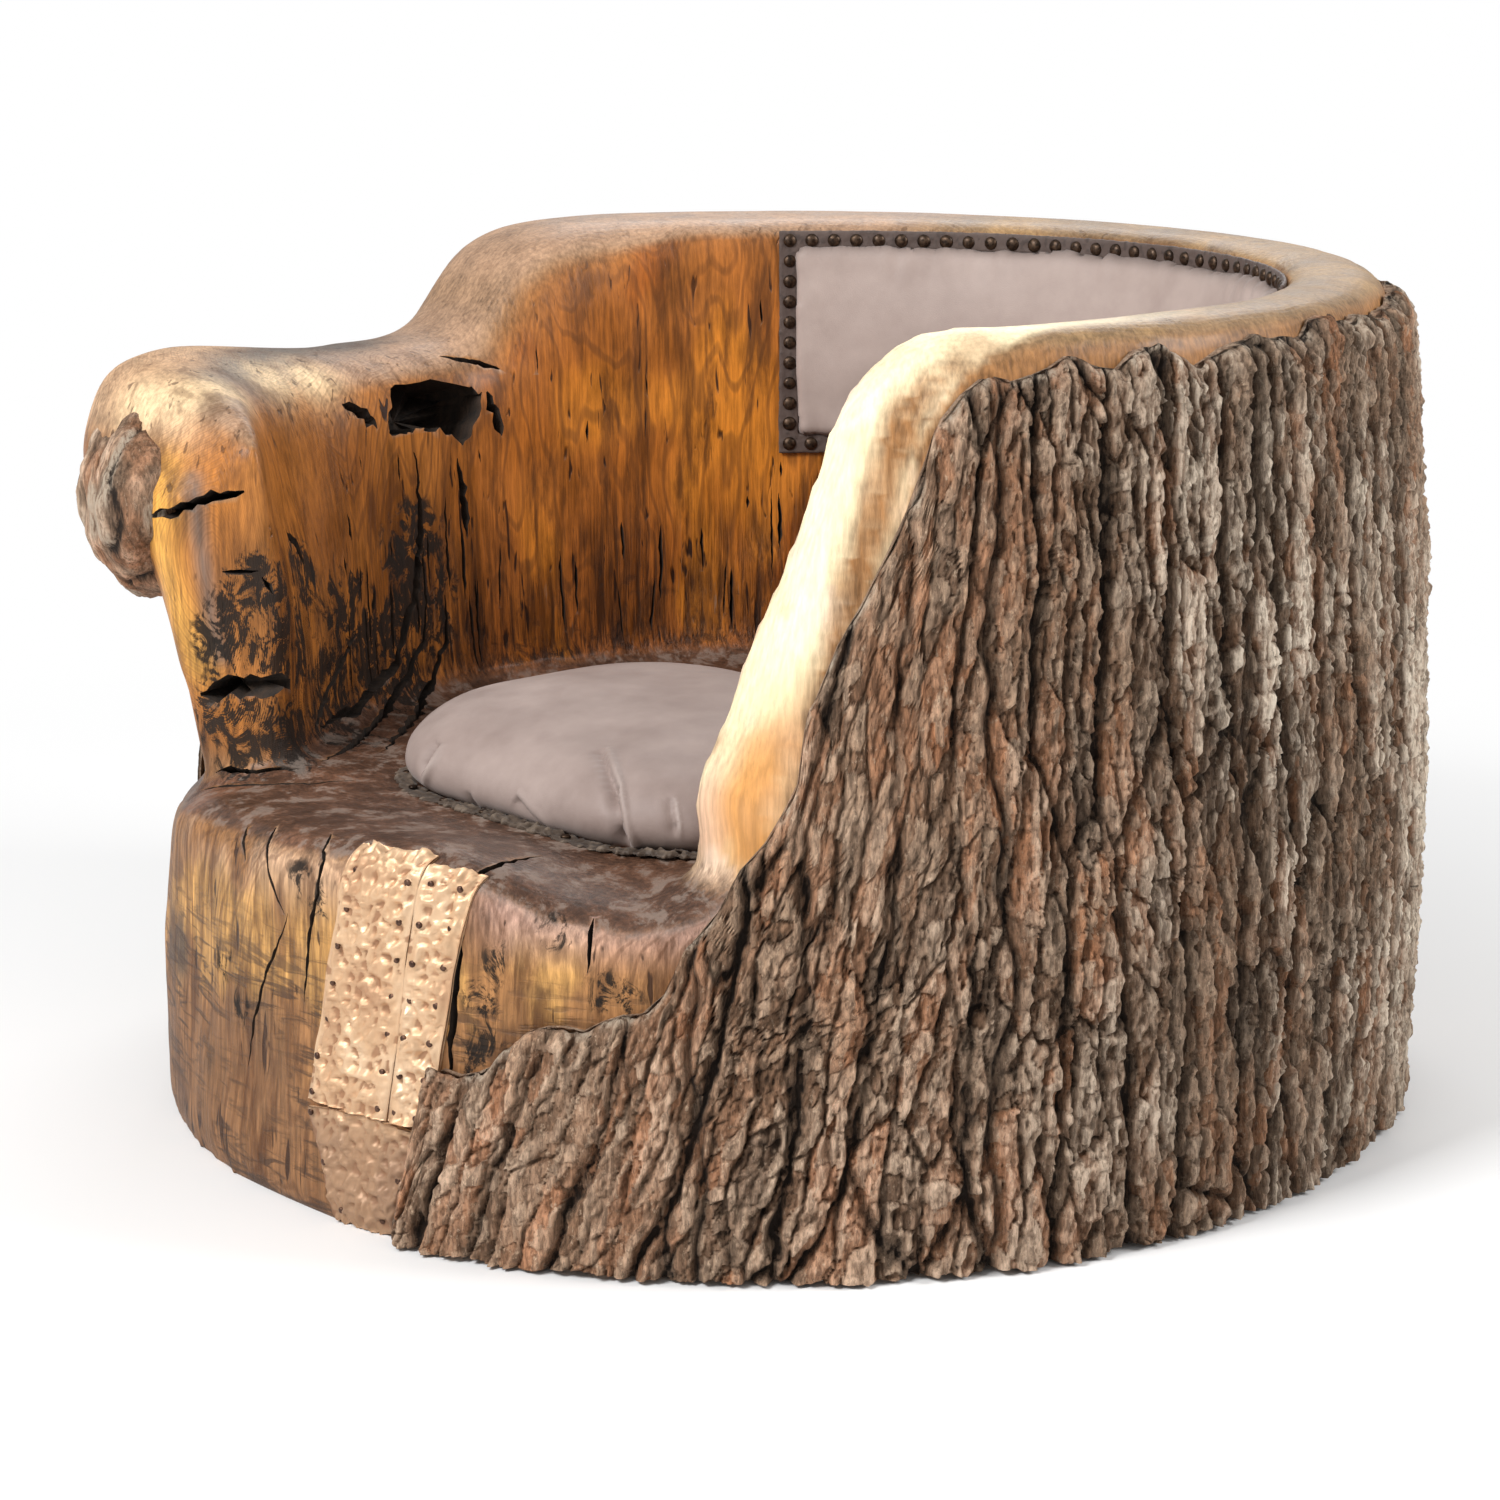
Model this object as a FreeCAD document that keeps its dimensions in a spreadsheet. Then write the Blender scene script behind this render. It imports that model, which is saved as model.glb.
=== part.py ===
import FreeCAD, Part
import Sketcher
import math
import os
from types import SimpleNamespace

# Tree trunk chair. Millimetres, +Z up. The origin is on the trunk's axis at the floor, and the
# sitter faces -Y. The swept arm is at +X and the stub arm, with its burl, at -X. Angles round the
# trunk are measured from the front (-Y) towards +X.

DRIVING_SIZES = {
    # Log under the bark: radius at the floor, at the waist and at the rim
    "trunk_height": 785,
    "foot_radius": 585,
    "front_swell": 20,
    "foot_shift": 5,
    "waist_radius": 588,
    "waist_height": 340,
    "waist_shift": 4,
    "rim_radius": 562,
    # Hollow: an oval well sunk from the rim to the seat
    "seat_height": 325,
    "hollow_half_width": 425,
    "hollow_extra_depth": 55,
    "hollow_flare": 15,
    "hollow_shift_right": 45,
    "hollow_shift_front": 35,
    "cut_margin": 160,
    # Swept arm: its front edge leans back from the seat to a brow and rounds into the rim
    "swept_foot_reach": 408,
    "swept_brow_reach": 305,
    "swept_brow_height": 670,
    "swept_top_reach": 195,
    "swept_brow_round": 125,
    # Stub arm: top, shoulder up to the rim, nose, and the slanted face at its end
    "stub_height": 675,
    "stub_shoulder_reach": 35,
    "stub_shoulder_back": 110,
    "stub_shoulder_round": 130,
    "stub_nose_reach": 455,
    "stub_nose_height": 590,
    "stub_nose_round": 105,
    "stub_tip_left": 265,
    "stub_tip_reach": 475,
    "stub_face_turn": 35,
    "stub_face_inward": 300,
    # Hollow under the tip of the stub arm, on its outer side
    "undercut_left": 520,
    "undercut_reach": 620,
    "undercut_foot_radius": 285,
    "undercut_top_radius": 190,
    "undercut_height": 240,
    # Swelling of the wood at the stub arm's tip and the burl grown over it
    "swelling_left": 315,
    "swelling_reach": 290,
    "swelling_radius": 192,
    "swelling_half_height": 100,
    "burl_left": 440,
    "burl_reach": 372,
    "burl_depth": 108,
    "burl_girth": 180,
    "burl_half_height": 100,
    "burl_height": 575,
    "burl_turn": 40,
    # Bark
    "bark_thickness": 26,
    "bark_lift": 3,
    "bark_rim_drop": 22,
    "bark_setback": 16,
    "bark_start": 42,
    "bark_slab_turn": 24,
    "bark_fissure": 0.4,
    "stub_bark_turn": 26,
    "front_bark_turn": 28,
    "front_bark_corner": 212,
    "front_bark_low": 160,
    "front_bark_middle": 360,
    "front_bark_rise": 232,
    "front_bark_end": 425,
    "front_bark_foot": 160,
    # Furrows in the bark, in two tiers
    "furrow_radius": 10,
    "furrow_depth": 11,
    "furrow_pitch": 6,
    "furrow_length": 330,
    "furrow_low": 190,
    "furrow_high": 560,
    "front_furrow_low": 95,
    "front_furrow_length": 150,
    # Seat cushion: half sizes of its widest outline, and the heights of its sections
    "cushion_right": 80,
    "cushion_front": 200,
    "cushion_half_width": 240,
    "cushion_half_depth": 200,
    "cushion_corner": 140,
    "cushion_tuck": 18,
    "cushion_belly_height": 30,
    "cushion_crown_height": 90,
    "cushion_crown_turn": 80,
    "leather_thickness": 2,
    "edging_width": 16,
    "edging_thickness": 3,
    "edging_gap": 2,
    # Back pad and its border band
    "pad_low": 562,
    "pad_high": 755,
    "pad_half_turn": 46,
    "pad_crown": 34,
    "pad_end_crown": 14,
    "pad_lip": 7,
    "border_width": 20,
    "border_thickness": 3,
    "seam_gap": 0.3,
    # Copper patch over the check in the front of the seat
    "copper_thickness": 1.2,
    "copper_standoff": 0.1,
    "copper_lap": 38,
    "copper_lift": 4,
    "copper_top_left": 93,
    "copper_top_seam": 172,
    "copper_top_right": 219,
    "copper_break_height": 104,
    "copper_break_left": 50,
    "copper_break_seam": 145,
    "copper_break_right": 187,
    "copper_foot_left": 86,
    "copper_foot_right": 150,
    "copper_seam_gap": 0.4,
    "copper_edge": 9,
    # Nails: dome heads in the border, small heads in the copper, tacks in the edging
    "dome_nail_radius": 6.5,
    "dome_nail_rise": 4,
    "dome_nail_pitch": 21,
    "copper_nail_radius": 2.8,
    "copper_nail_rise": 1.4,
    "copper_nail_pitch": 34,
    "tack_radius": 4,
    "tack_rise": 1.6,
    "tack_pitch": 58,
    "shank_radius": 1,
    "shank_length": 14,
}

SIDE_SLABS = 10
PAD_SECTIONS = 7
CUSHION_STEPS = 5
CUSHION_EASE = 0.6
COPPER_STEPS = 4
# Furrows lean over the front by this much for each unit of height, and stand upright past the side
FRONT_LEAN = 0.44
LEAN_START = 15
LEAN_END = 85
# Shares of a pitch by which each tier's furrows stand before the whole pitches from a slab's edge
LOW_TIER_SHIFT = 0.3
HIGH_TIER_SHIFT = 0.7
# The cushion's flank leaves its foot this many times flatter than a straight line to its belly
FOOT_FLARE = 4

doc = FreeCAD.newDocument("tree_trunk_chair")
sheet = doc.addObject("Spreadsheet::Sheet", "dims")
for row, (alias, value) in enumerate(DRIVING_SIZES.items(), start=1):
    sheet.set(f"A{row}", alias)
    sheet.set(f"B{row}", str(value))
    sheet.setAlias(f"B{row}", alias)
doc.recompute()


class Size:
    """A size from the sheet: its value now, and the expression that ties an object to it."""

    def __init__(self, value, text):
        self.value = float(value)
        self.text = text

    def __add__(self, other):
        return Size(self.value + other.value, f"({self.text} + {other.text})")

    def __sub__(self, other):
        return Size(self.value - other.value, f"({self.text} - {other.text})")

    def __neg__(self):
        return Size(-self.value, f"(-{self.text})")

    def __mul__(self, factor):
        return Size(self.value * factor, f"({self.text} * {factor})")


dim = SimpleNamespace(**{alias: Size(sheet.get(alias), f"dims.{alias}") for alias in DRIVING_SIZES})
ZERO = Size(0, "0")
FULL_TURN = Size(360, "360")
QUARTER_TURN = Size(90, "90")


def bind(item, **sizes):
    """Tie properties of an object to sizes; x, y, z and turn stand for its placement."""
    paths = {"x": "Placement.Base.x", "y": "Placement.Base.y", "z": "Placement.Base.z",
             "turn": "Placement.Rotation.Angle"}
    for name, size in sizes.items():
        item.setExpression(paths.get(name, name), size.text)
    return item


def combine(kind, name, base, tool):
    """A cut or a common of two objects."""
    item = doc.addObject(kind, name)
    item.Base = base
    item.Tool = tool
    return item


def cut(name, base, *tools):
    """Take tools away from a base one after another; the last result has the given name."""
    for step, tool in enumerate(tools, start=1):
        step_name = name if step == len(tools) else f"{name}_step_{step}"
        base = combine("Part::Cut", step_name, base, tool)
    return base


def common(name, base, *tools):
    """Keep what a base shares with every tool; the last result has the given name."""
    for step, tool in enumerate(tools, start=1):
        step_name = name if step == len(tools) else f"{name}_step_{step}"
        base = combine("Part::Common", step_name, base, tool)
    return base


def oval(name, half_width, half_depth, x, y, z, start=QUARTER_TURN):
    """A horizontal ellipse whose longer axis, half_depth, runs front to back.

    Its curve starts at the back, or at the front with a start of minus a quarter turn."""
    section = doc.addObject("Part::Ellipse", name)
    section.Placement.Rotation = FreeCAD.Rotation(FreeCAD.Vector(0, 0, 1), start.value)
    return bind(section, MinorRadius=half_width, MajorRadius=half_depth, x=x, y=y, z=z)


def loft(name, sections):
    """A solid skinned through closed sections."""
    body = doc.addObject("Part::Loft", name)
    body.Sections = sections
    body.Solid = True
    return body


def log_form(name, offset, start=QUARTER_TURN):
    """The log as it grew, larger than the wood by offset all round."""
    swell = dim.front_swell * 0.5
    foot = dim.foot_radius + offset
    waist = dim.waist_radius + offset
    rim = dim.rim_radius + offset
    return loft(name, [
        oval(f"{name}_foot", foot, foot + swell, dim.foot_shift, -swell, ZERO, start),
        oval(f"{name}_waist", waist, waist, dim.waist_shift, dim.waist_shift, dim.waist_height, start),
        oval(f"{name}_rim", rim, rim, ZERO, ZERO, dim.trunk_height, start),
    ])


def hollow_form(name, inset):
    """The well above the seat, smaller than the hollow by inset all round."""
    low = dim.hollow_half_width - inset
    high = low + dim.hollow_flare
    top = dim.trunk_height + dim.cut_margin
    x, y = dim.hollow_shift_right, -dim.hollow_shift_front
    return loft(name, [
        oval(f"{name}_seat", low, low + dim.hollow_extra_depth, x, y, dim.seat_height),
        oval(f"{name}_top", high, high + dim.hollow_extra_depth, x, y, top),
    ])


def disc(name, radius, z, height, x=ZERO, y=ZERO, start=ZERO, sweep=FULL_TURN):
    """A round slab or a sector of one; start is measured from +X, like sweep, in degrees."""
    item = doc.addObject("Part::Cylinder", name)
    return bind(item, Radius=radius, Height=height, Angle=sweep, x=x, y=y, z=z, turn=start)


def ball(name, depth, girth, half_height, x, y, z, turn=ZERO):
    """An ellipsoid; depth and girth are its half sizes along X and Y before it is turned."""
    item = doc.addObject("Part::Ellipsoid", name)
    return bind(item, Radius1=half_height, Radius2=depth, Radius3=girth, x=x, y=y, z=z, turn=turn)


def arc_between(start, end, radius):
    """An arc of under half a circle; it turns left for a positive radius, right for a negative one.

    It runs anticlockwise, so a right turn is given from its end to its start."""
    chord = end - start
    left = FreeCAD.Vector(-chord.y, chord.x, 0).normalize()
    drop = math.sqrt(radius ** 2 - (chord.Length / 2) ** 2)
    centre = (start + end) * 0.5 + left * math.copysign(drop, radius)
    first, last = (start, end) if radius > 0 else (end, start)
    angles = [math.atan2(point.y - centre.y, point.x - centre.x) for point in (first, last)]
    circle = Part.Circle(centre, FreeCAD.Vector(0, 0, 1), abs(radius))
    return Part.ArcOfCircle(circle, angles[0], angles[1])


def profile(name, corners, arcs=None):
    """A closed sketch through corners; arcs gives the radius of each side that is round.

    A positive radius turns left along the outline and a negative one right."""
    arcs = arcs or {}
    points = [FreeCAD.Vector(across.value, up.value, 0) for across, up in corners]
    sides = range(len(points))
    ends = points[1:] + points[:1]
    geometry = [arc_between(points[side], ends[side], arcs[side].value) if side in arcs
                else Part.LineSegment(points[side], ends[side]) for side in sides]
    first = [2 if side in arcs and arcs[side].value < 0 else 1 for side in sides]
    constraints = []
    ties = []
    for side in sides:
        following = (side + 1) % len(points)
        constraints.append(Sketcher.Constraint("Coincident", side, 3 - first[side],
                                               following, first[following]))
    for side, (across, up) in enumerate(corners):
        for kind, size in (("DistanceX", across), ("DistanceY", up)):
            ties.append((len(constraints), size.text))
            constraints.append(Sketcher.Constraint(kind, -1, 1, side, first[side], size.value))
    for side, radius in arcs.items():
        ties.append((len(constraints), f"abs({radius.text})"))
        constraints.append(Sketcher.Constraint("Radius", side, abs(radius.value)))
    sketch = doc.addObject("Sketcher::SketchObject", name)
    sketch.addGeometry(geometry, False)
    sketch.addConstraint(constraints)
    for index, text in ties:
        sketch.setExpression(f"Constraints[{index}]", text)
    return sketch


def prism(name, sketch, forward, backward):
    """A sketch drawn out along its normal, forward and backward."""
    item = doc.addObject("Part::Extrusion", name)
    item.Base = sketch
    item.DirMode = "Normal"
    item.Solid = True
    return bind(item, LengthFwd=forward, LengthRev=backward)


def side_view(sketch):
    """Stand a sketch up in the Y-Z plane, seen from +X."""
    sketch.Placement.Rotation = FreeCAD.Rotation(FreeCAD.Vector(1, 1, 1), 120)
    return sketch


def front_view(sketch):
    """Stand a sketch up in the X-Z plane, seen from the front."""
    sketch.Placement.Rotation = FreeCAD.Rotation(FreeCAD.Vector(1, 0, 0), QUARTER_TURN.value)
    return sketch


def plan_angle(front_angle):
    """An angle from the front turned into one from +X."""
    return front_angle - QUARTER_TURN


# Cuts that open the front of the hollow and shape the arms
reach = dim.foot_radius + dim.front_swell + dim.cut_margin
above = dim.trunk_height + dim.cut_margin

swept_profile = side_view(profile("swept_profile", [
    (-reach, dim.seat_height),
    (-dim.swept_foot_reach, dim.seat_height),
    (-dim.swept_brow_reach, dim.swept_brow_height),
    (-dim.swept_top_reach, dim.trunk_height),
    (-dim.swept_top_reach, above),
    (-reach, above),
], {2: -dim.swept_brow_round}))
stub_profile = side_view(profile("stub_profile", [
    (-reach, dim.stub_nose_height),
    (-dim.stub_nose_reach, dim.stub_nose_height),
    (-dim.stub_nose_reach + dim.stub_nose_round, dim.stub_height),
    (-dim.stub_shoulder_reach, dim.stub_height),
    (dim.stub_shoulder_back, dim.trunk_height),
    (dim.stub_shoulder_back, above),
    (-reach, above),
], {1: -dim.stub_nose_round, 3: -dim.stub_shoulder_round}))


def arm_cuts(suffix, back, drop):
    """The space over each arm, moved back and down so that it also trims what stands behind it."""
    cuts = []
    for name, sketch, forward, backward in (("swept", swept_profile, reach, ZERO),
                                            ("stub", stub_profile, ZERO, reach)):
        space = prism(f"{name}_space{suffix}", sketch, forward, backward)
        cuts.append(bind(space, y=back, z=-drop))
    return cuts


def stub_face_space():
    """The space in front of the stub arm's end face: a block over the seat, turned about the tip."""
    block = prism("stub_face_space", profile("stub_face_plan", [
        (-reach, -reach),
        (dim.stub_face_inward, -reach),
        (dim.stub_face_inward, ZERO),
        (-reach, ZERO),
    ]), above - dim.seat_height, ZERO)
    return bind(block, x=-dim.stub_tip_left, y=-dim.stub_tip_reach, z=dim.seat_height,
                turn=dim.stub_face_turn)


# Trunk: the log and the swelling of the stub arm, less the hollow and the spaces over the arms
swelling = ball("swelling", dim.swelling_radius, dim.swelling_radius, dim.swelling_half_height,
                -dim.swelling_left, -dim.swelling_reach, dim.burl_height)
grown_log = doc.addObject("Part::Fuse", "grown_log")
grown_log.Base = log_form("log", ZERO)
grown_log.Tool = swelling
hollow = hollow_form("hollow", ZERO)
face_space = stub_face_space()
undercut = doc.addObject("Part::Cone", "undercut")
bind(undercut, Radius1=dim.undercut_foot_radius, Radius2=dim.undercut_top_radius,
     Height=dim.undercut_height, x=-dim.undercut_left, y=-dim.undercut_reach, z=dim.seat_height)
trunk = cut("trunk", grown_log, hollow, *arm_cuts("", ZERO, ZERO), face_space, undercut)

# Burl: bark grown over the stub arm's tip
burl_ball = ball("burl_ball", dim.burl_depth, dim.burl_girth, dim.burl_half_height,
                 -dim.burl_left, -dim.burl_reach, dim.burl_height, dim.burl_turn)
burl = cut("stub_arm_burl", burl_ball, grown_log, face_space)

# Bark: a sleeve round the log, trimmed behind the arms' edges and parted into slabs
bark_room = disc("bark_room", reach, dim.bark_lift,
                 dim.trunk_height - dim.bark_rim_drop - dim.bark_lift)
bark_log = log_form("bark_log", dim.bark_thickness, -QUARTER_TURN)
sleeve = common("bark_ring", cut("bark_shell", bark_log, grown_log), bark_room)
sleeve = cut("bark_sleeve", sleeve, *arm_cuts("_bark", dim.bark_setback, dim.bark_setback),
             face_space, undercut, burl_ball)


def bark_sector(name, start, sweep):
    """A wedge of the sleeve's room from start, short of sweep by the fissure beside it."""
    return disc(f"{name}_wedge", reach, ZERO, above, start=plan_angle(start),
                sweep=sweep - dim.bark_fissure)


doc.recompute()
bark_side = max(bark_log.Shape.Faces, key=lambda face: face.Area).Surface


def bark_face(angle, z):
    """The place on the bark's outside at an angle from the front, in radians, and a height."""
    outward = FreeCAD.Vector(math.sin(angle), -math.cos(angle), 0)
    level = FreeCAD.Vector(0, 0, z)
    sight = Part.LineSegment(level + outward * reach.value, level)
    points, _ = sight.intersectCS(bark_side)
    return FreeCAD.Vector(points[0].X, points[0].Y, z)


def furrow_lean(front_angle):
    """How far a furrow leans sideways for each unit of height."""
    share = min(max((front_angle - LEAN_START) / (LEAN_END - LEAN_START), 0), 1)
    return FRONT_LEAN * (1 - share * share * (3 - 2 * share))


def furrow(name, front_angle, height, length):
    """A round-bottomed groove along the bark's outside, centred at an angle and a height."""
    middle = math.radians(front_angle.value)
    half = length.value / 2
    shift = furrow_lean(front_angle.value) * half / dim.waist_radius.value
    foot = bark_face(middle - shift, height.value - half)
    top = bark_face(middle + shift, height.value + half)
    outward = FreeCAD.Vector(math.sin(middle), -math.cos(middle), 0)
    stand_off = (dim.furrow_radius - dim.furrow_depth).value
    item = doc.addObject("Part::Cylinder", name)
    item.Placement = FreeCAD.Placement(foot + outward * stand_off,
                                       FreeCAD.Rotation(FreeCAD.Vector(0, 0, 1), top - foot))
    item.Height = (top - foot).Length
    return bind(item, Radius=dim.furrow_radius)


def furrows(name, start, sweep, tiers):
    """The furrows of one slab; a tier is a height, a length and a share of a pitch to move over."""
    count = round(sweep.value / dim.furrow_pitch.value)
    items = []
    for tier, (height, length, moved) in enumerate(tiers, start=1):
        places = [step - moved for step in range(1, count + 1) if step - moved < count]
        for step, place in enumerate(places, start=1):
            angle = start + dim.furrow_pitch * place
            items.append(furrow(f"{name}_furrow_{tier}_{step}", angle, height, length))
    return items


low_tier = (dim.furrow_low, dim.furrow_length, LOW_TIER_SHIFT)
high_tier = (dim.furrow_high, dim.furrow_length, HIGH_TIER_SHIFT)
slabs = []
for index in range(SIDE_SLABS):
    name = f"bark_slab_{index + 1:02d}"
    start = dim.bark_start + dim.bark_slab_turn * index
    plain = common(f"{name}_plain", sleeve, bark_sector(name, start, dim.bark_slab_turn))
    tiers = [low_tier, high_tier] if index < SIDE_SLABS - 1 else [low_tier]
    slabs.append(cut(name, plain, *furrows(name, start, dim.bark_slab_turn, tiers)))
stub_start = dim.bark_start + dim.bark_slab_turn * SIDE_SLABS
stub_plain = common("stub_arm_bark_plain", sleeve,
                    bark_sector("stub_arm_bark", stub_start, dim.stub_bark_turn))
slabs.append(cut("stub_arm_bark", stub_plain,
                 *furrows("stub_arm_bark", stub_start, dim.stub_bark_turn, [low_tier])))
front_outline = front_view(profile("front_bark_outline", [
    (dim.front_bark_foot, ZERO),
    (dim.front_bark_end, ZERO),
    (dim.front_bark_end, dim.seat_height),
    (dim.front_bark_middle, dim.front_bark_rise),
    (dim.front_bark_corner, dim.front_bark_low),
]))
front_start = dim.bark_start - dim.front_bark_turn
front_plain = common("front_bark_plain", sleeve,
                     bark_sector("front_bark", front_start, dim.front_bark_turn),
                     prism("front_bark_room", front_outline, reach, ZERO))
front_tier = (dim.front_furrow_low, dim.front_furrow_length, 0)
slabs.append(cut("front_bark", front_plain,
                 *furrows("front_bark", front_start, dim.front_bark_turn, [front_tier])))


def feature(name, shape):
    """A shape of the part's own making, kept as an object."""
    item = doc.addObject("Part::Feature", name)
    item.Shape = shape
    return item


# Seat cushion: rounded outlines, drawn in at the foot, widest at the belly, closing to the crown
def rounded_outline(inset, height):
    """The cushion's plan drawn in by inset, as four straight sides and four round corners."""
    width = dim.cushion_half_width.value - inset
    depth = dim.cushion_half_depth.value - inset
    corner = dim.cushion_corner.value * depth / dim.cushion_half_depth.value
    bow = corner * (1 - math.sqrt(0.5))
    x0, y0 = dim.cushion_right.value, -dim.cushion_front.value
    edges = []
    for turn in range(4):
        along, across = (width, depth) if turn % 2 == 0 else (depth, width)
        points = [(along, corner - across), (along, across - corner),
                  (along - bow, across - bow), (along - corner, across)]
        angle = turn * math.pi / 2
        corners = [FreeCAD.Vector(x0 + px * math.cos(angle) - py * math.sin(angle),
                                  y0 + px * math.sin(angle) + py * math.cos(angle),
                                  dim.seat_height.value + height) for px, py in points]
        edges.append(Part.makeLine(corners[0], corners[1]))
        edges.append(Part.Arc(corners[1], corners[2], corners[3]).toShape())
    return Part.Wire(edges)


def cushion_form():
    """The stuffed cushion, with its leather."""
    belly = dim.cushion_belly_height.value
    rise = dim.cushion_crown_height.value - belly
    last_turn = math.radians(dim.cushion_crown_turn.value)
    levels = [(0, dim.cushion_tuck.value)]
    for step in range(CUSHION_STEPS + 1):
        turn = last_turn * (step / CUSHION_STEPS) ** CUSHION_EASE
        inset = dim.cushion_half_depth.value * (1 - math.cos(turn))
        levels.append((belly + rise * math.sin(turn) / math.sin(last_turn), inset))
    return Part.makeLoft([rounded_outline(inset, height) for height, inset in levels], True)


def shrunk_about_foot(shape, thickness):
    """The cushion's form drawn in by one thickness at its sides and its crown."""
    foot = FreeCAD.Vector(dim.cushion_right.value, -dim.cushion_front.value, dim.seat_height.value)
    scale = FreeCAD.Matrix()
    scale.scale(1 - thickness / dim.cushion_half_width.value,
                1 - thickness / dim.cushion_half_depth.value,
                1 - thickness / dim.cushion_crown_height.value)
    centred = shape.translated(-foot)
    return centred.transformGeometry(scale).translated(foot)


cushion = cushion_form()
cushion_filling = shrunk_about_foot(cushion, dim.leather_thickness.value)
seat_filling = feature("seat_filling", cushion_filling)
seat_cover = feature("seat_cover", cushion.cut(cushion_filling))


def outline_slab(inset, thickness):
    """A flat slab on the seat with the cushion's plan drawn in by inset."""
    return Part.Face(rounded_outline(inset, 0)).extrude(FreeCAD.Vector(0, 0, thickness))


flank_slope = FOOT_FLARE * dim.cushion_tuck.value / dim.cushion_belly_height.value
edging_inner = (dim.cushion_tuck.value - flank_slope * dim.edging_thickness.value
                - dim.edging_gap.value)
edging_outer = edging_inner - dim.edging_width.value
seat_edging = feature("seat_edging", outline_slab(edging_outer, dim.edging_thickness.value).cut(
    outline_slab(edging_inner, dim.edging_thickness.value)))


# Nails
def nail(head_radius, head_rise):
    """A domed nail on its own axis, with the underside of the head at zero."""
    dome = (head_radius ** 2 + head_rise ** 2) / (2 * head_rise)
    rim_latitude = math.degrees(math.asin((dome - head_rise) / dome))
    up = FreeCAD.Vector(0, 0, 1)
    head = Part.makeSphere(dome, up * (head_rise - dome), up, rim_latitude, 90, 360)
    length = dim.shank_length.value
    return head.fuse(Part.makeCylinder(dim.shank_radius.value, length, up * -length))


def nail_group(name, pattern, places):
    """One node of equal nails; each place is the seat of a head and the way that it points."""
    nails = []
    for seat, outward in places:
        single = pattern.copy()
        single.Placement = FreeCAD.Placement(seat, FreeCAD.Rotation(FreeCAD.Vector(0, 0, 1), outward))
        nails.append(single)
    return feature(name, Part.makeCompound(nails))


def spread(length, pitch):
    """Evenly spaced fractions along a row, both ends included, about one pitch apart."""
    count = max(1, round(length / pitch))
    return [step / count for step in range(count + 1)]


tack_line = rounded_outline(edging_inner - dim.edging_width.value / 2, dim.edging_thickness.value)
tack_count = round(tack_line.Length / dim.tack_pitch.value)
seat_tacks = nail_group("seat_tacks", nail(dim.tack_radius.value, dim.tack_rise.value),
                        [(point, FreeCAD.Vector(0, 0, 1))
                         for point in tack_line.discretize(Number=tack_count + 1)[:-1]])


# Back pad: upright sections round the hollow, each with a crowned front and the wall's slope behind
def hollow_halves(height):
    """Half width and half depth of the hollow at a height."""
    climb = (height - dim.seat_height.value) / (above.value - dim.seat_height.value)
    half_width = dim.hollow_half_width.value + dim.hollow_flare.value * climb
    return half_width, half_width + dim.hollow_extra_depth.value


def wall_distance(angle, height):
    """Distance from the hollow's axis to its wall, at an angle from straight back."""
    half_width, half_depth = hollow_halves(height)
    return 1 / math.hypot(math.sin(angle) / half_width, math.cos(angle) / half_depth)


def hollow_point(angle, distance, height):
    """A point at an angle from straight back and a distance from the hollow's axis."""
    return FreeCAD.Vector(dim.hollow_shift_right.value + distance * math.sin(angle),
                          -dim.hollow_shift_front.value + distance * math.cos(angle), height)


def pad_section(angle, crown, shrink):
    """One upright section of the pad, bowed out from the wall by crown."""
    low = dim.pad_low.value + shrink
    high = dim.pad_high.value - shrink
    middle = (low + high) / 2
    standing = dim.seam_gap.value + shrink
    foot, top = wall_distance(angle, low) - standing, wall_distance(angle, high) - standing
    lip = dim.pad_lip.value - 2 * shrink
    belly = wall_distance(angle, middle) - crown + shrink
    points = [hollow_point(angle, foot, low), hollow_point(angle, top, high),
              hollow_point(angle, top - lip, high), hollow_point(angle, belly, middle),
              hollow_point(angle, foot - lip, low)]
    return Part.Wire([Part.makeLine(points[0], points[1]),
                      Part.makeLine(points[1], points[2]),
                      Part.Arc(points[2], points[3], points[4]).toShape(),
                      Part.makeLine(points[4], points[0])])


def pad_form(shrink):
    """The pad with its ends drawn in, smaller by shrink on its front and edges."""
    half_turn = math.radians(dim.pad_half_turn.value) - shrink / dim.hollow_half_width.value
    sections = []
    for index in range(PAD_SECTIONS):
        place = index / (PAD_SECTIONS - 1)
        fullness = math.sin(math.pi * place)
        crown = dim.pad_end_crown.value + (dim.pad_crown - dim.pad_end_crown).value * fullness
        sections.append(pad_section(half_turn * (2 * place - 1), crown, shrink))
    return Part.makeLoft(sections, True)


pad_filling = pad_form(dim.leather_thickness.value)
back_filling = feature("back_filling", pad_filling)
back_cover = feature("back_cover", pad_form(0).cut(pad_filling))

# Border band: a frame of leather on the wall round the pad
lining = cut("lining", hollow, hollow_form("lining_core", dim.border_thickness))


def pad_wedge(name, margin):
    """A wedge of the hollow, larger than the pad by margin on every edge."""
    spread_text = f"({margin.text} / {dim.hollow_half_width.text} * 180 / pi)"
    spread_turn = Size(math.degrees(margin.value / dim.hollow_half_width.value), spread_text)
    half_turn = dim.pad_half_turn + spread_turn
    return disc(name, reach, dim.pad_low - margin, dim.pad_high - dim.pad_low + margin * 2,
                dim.hollow_shift_right, -dim.hollow_shift_front,
                QUARTER_TURN - half_turn, half_turn * 2)


border_frame = cut("border_frame", pad_wedge("border_outside", dim.border_width),
                   pad_wedge("border_inside", dim.seam_gap))
back_border = common("back_border", lining, border_frame)


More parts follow.
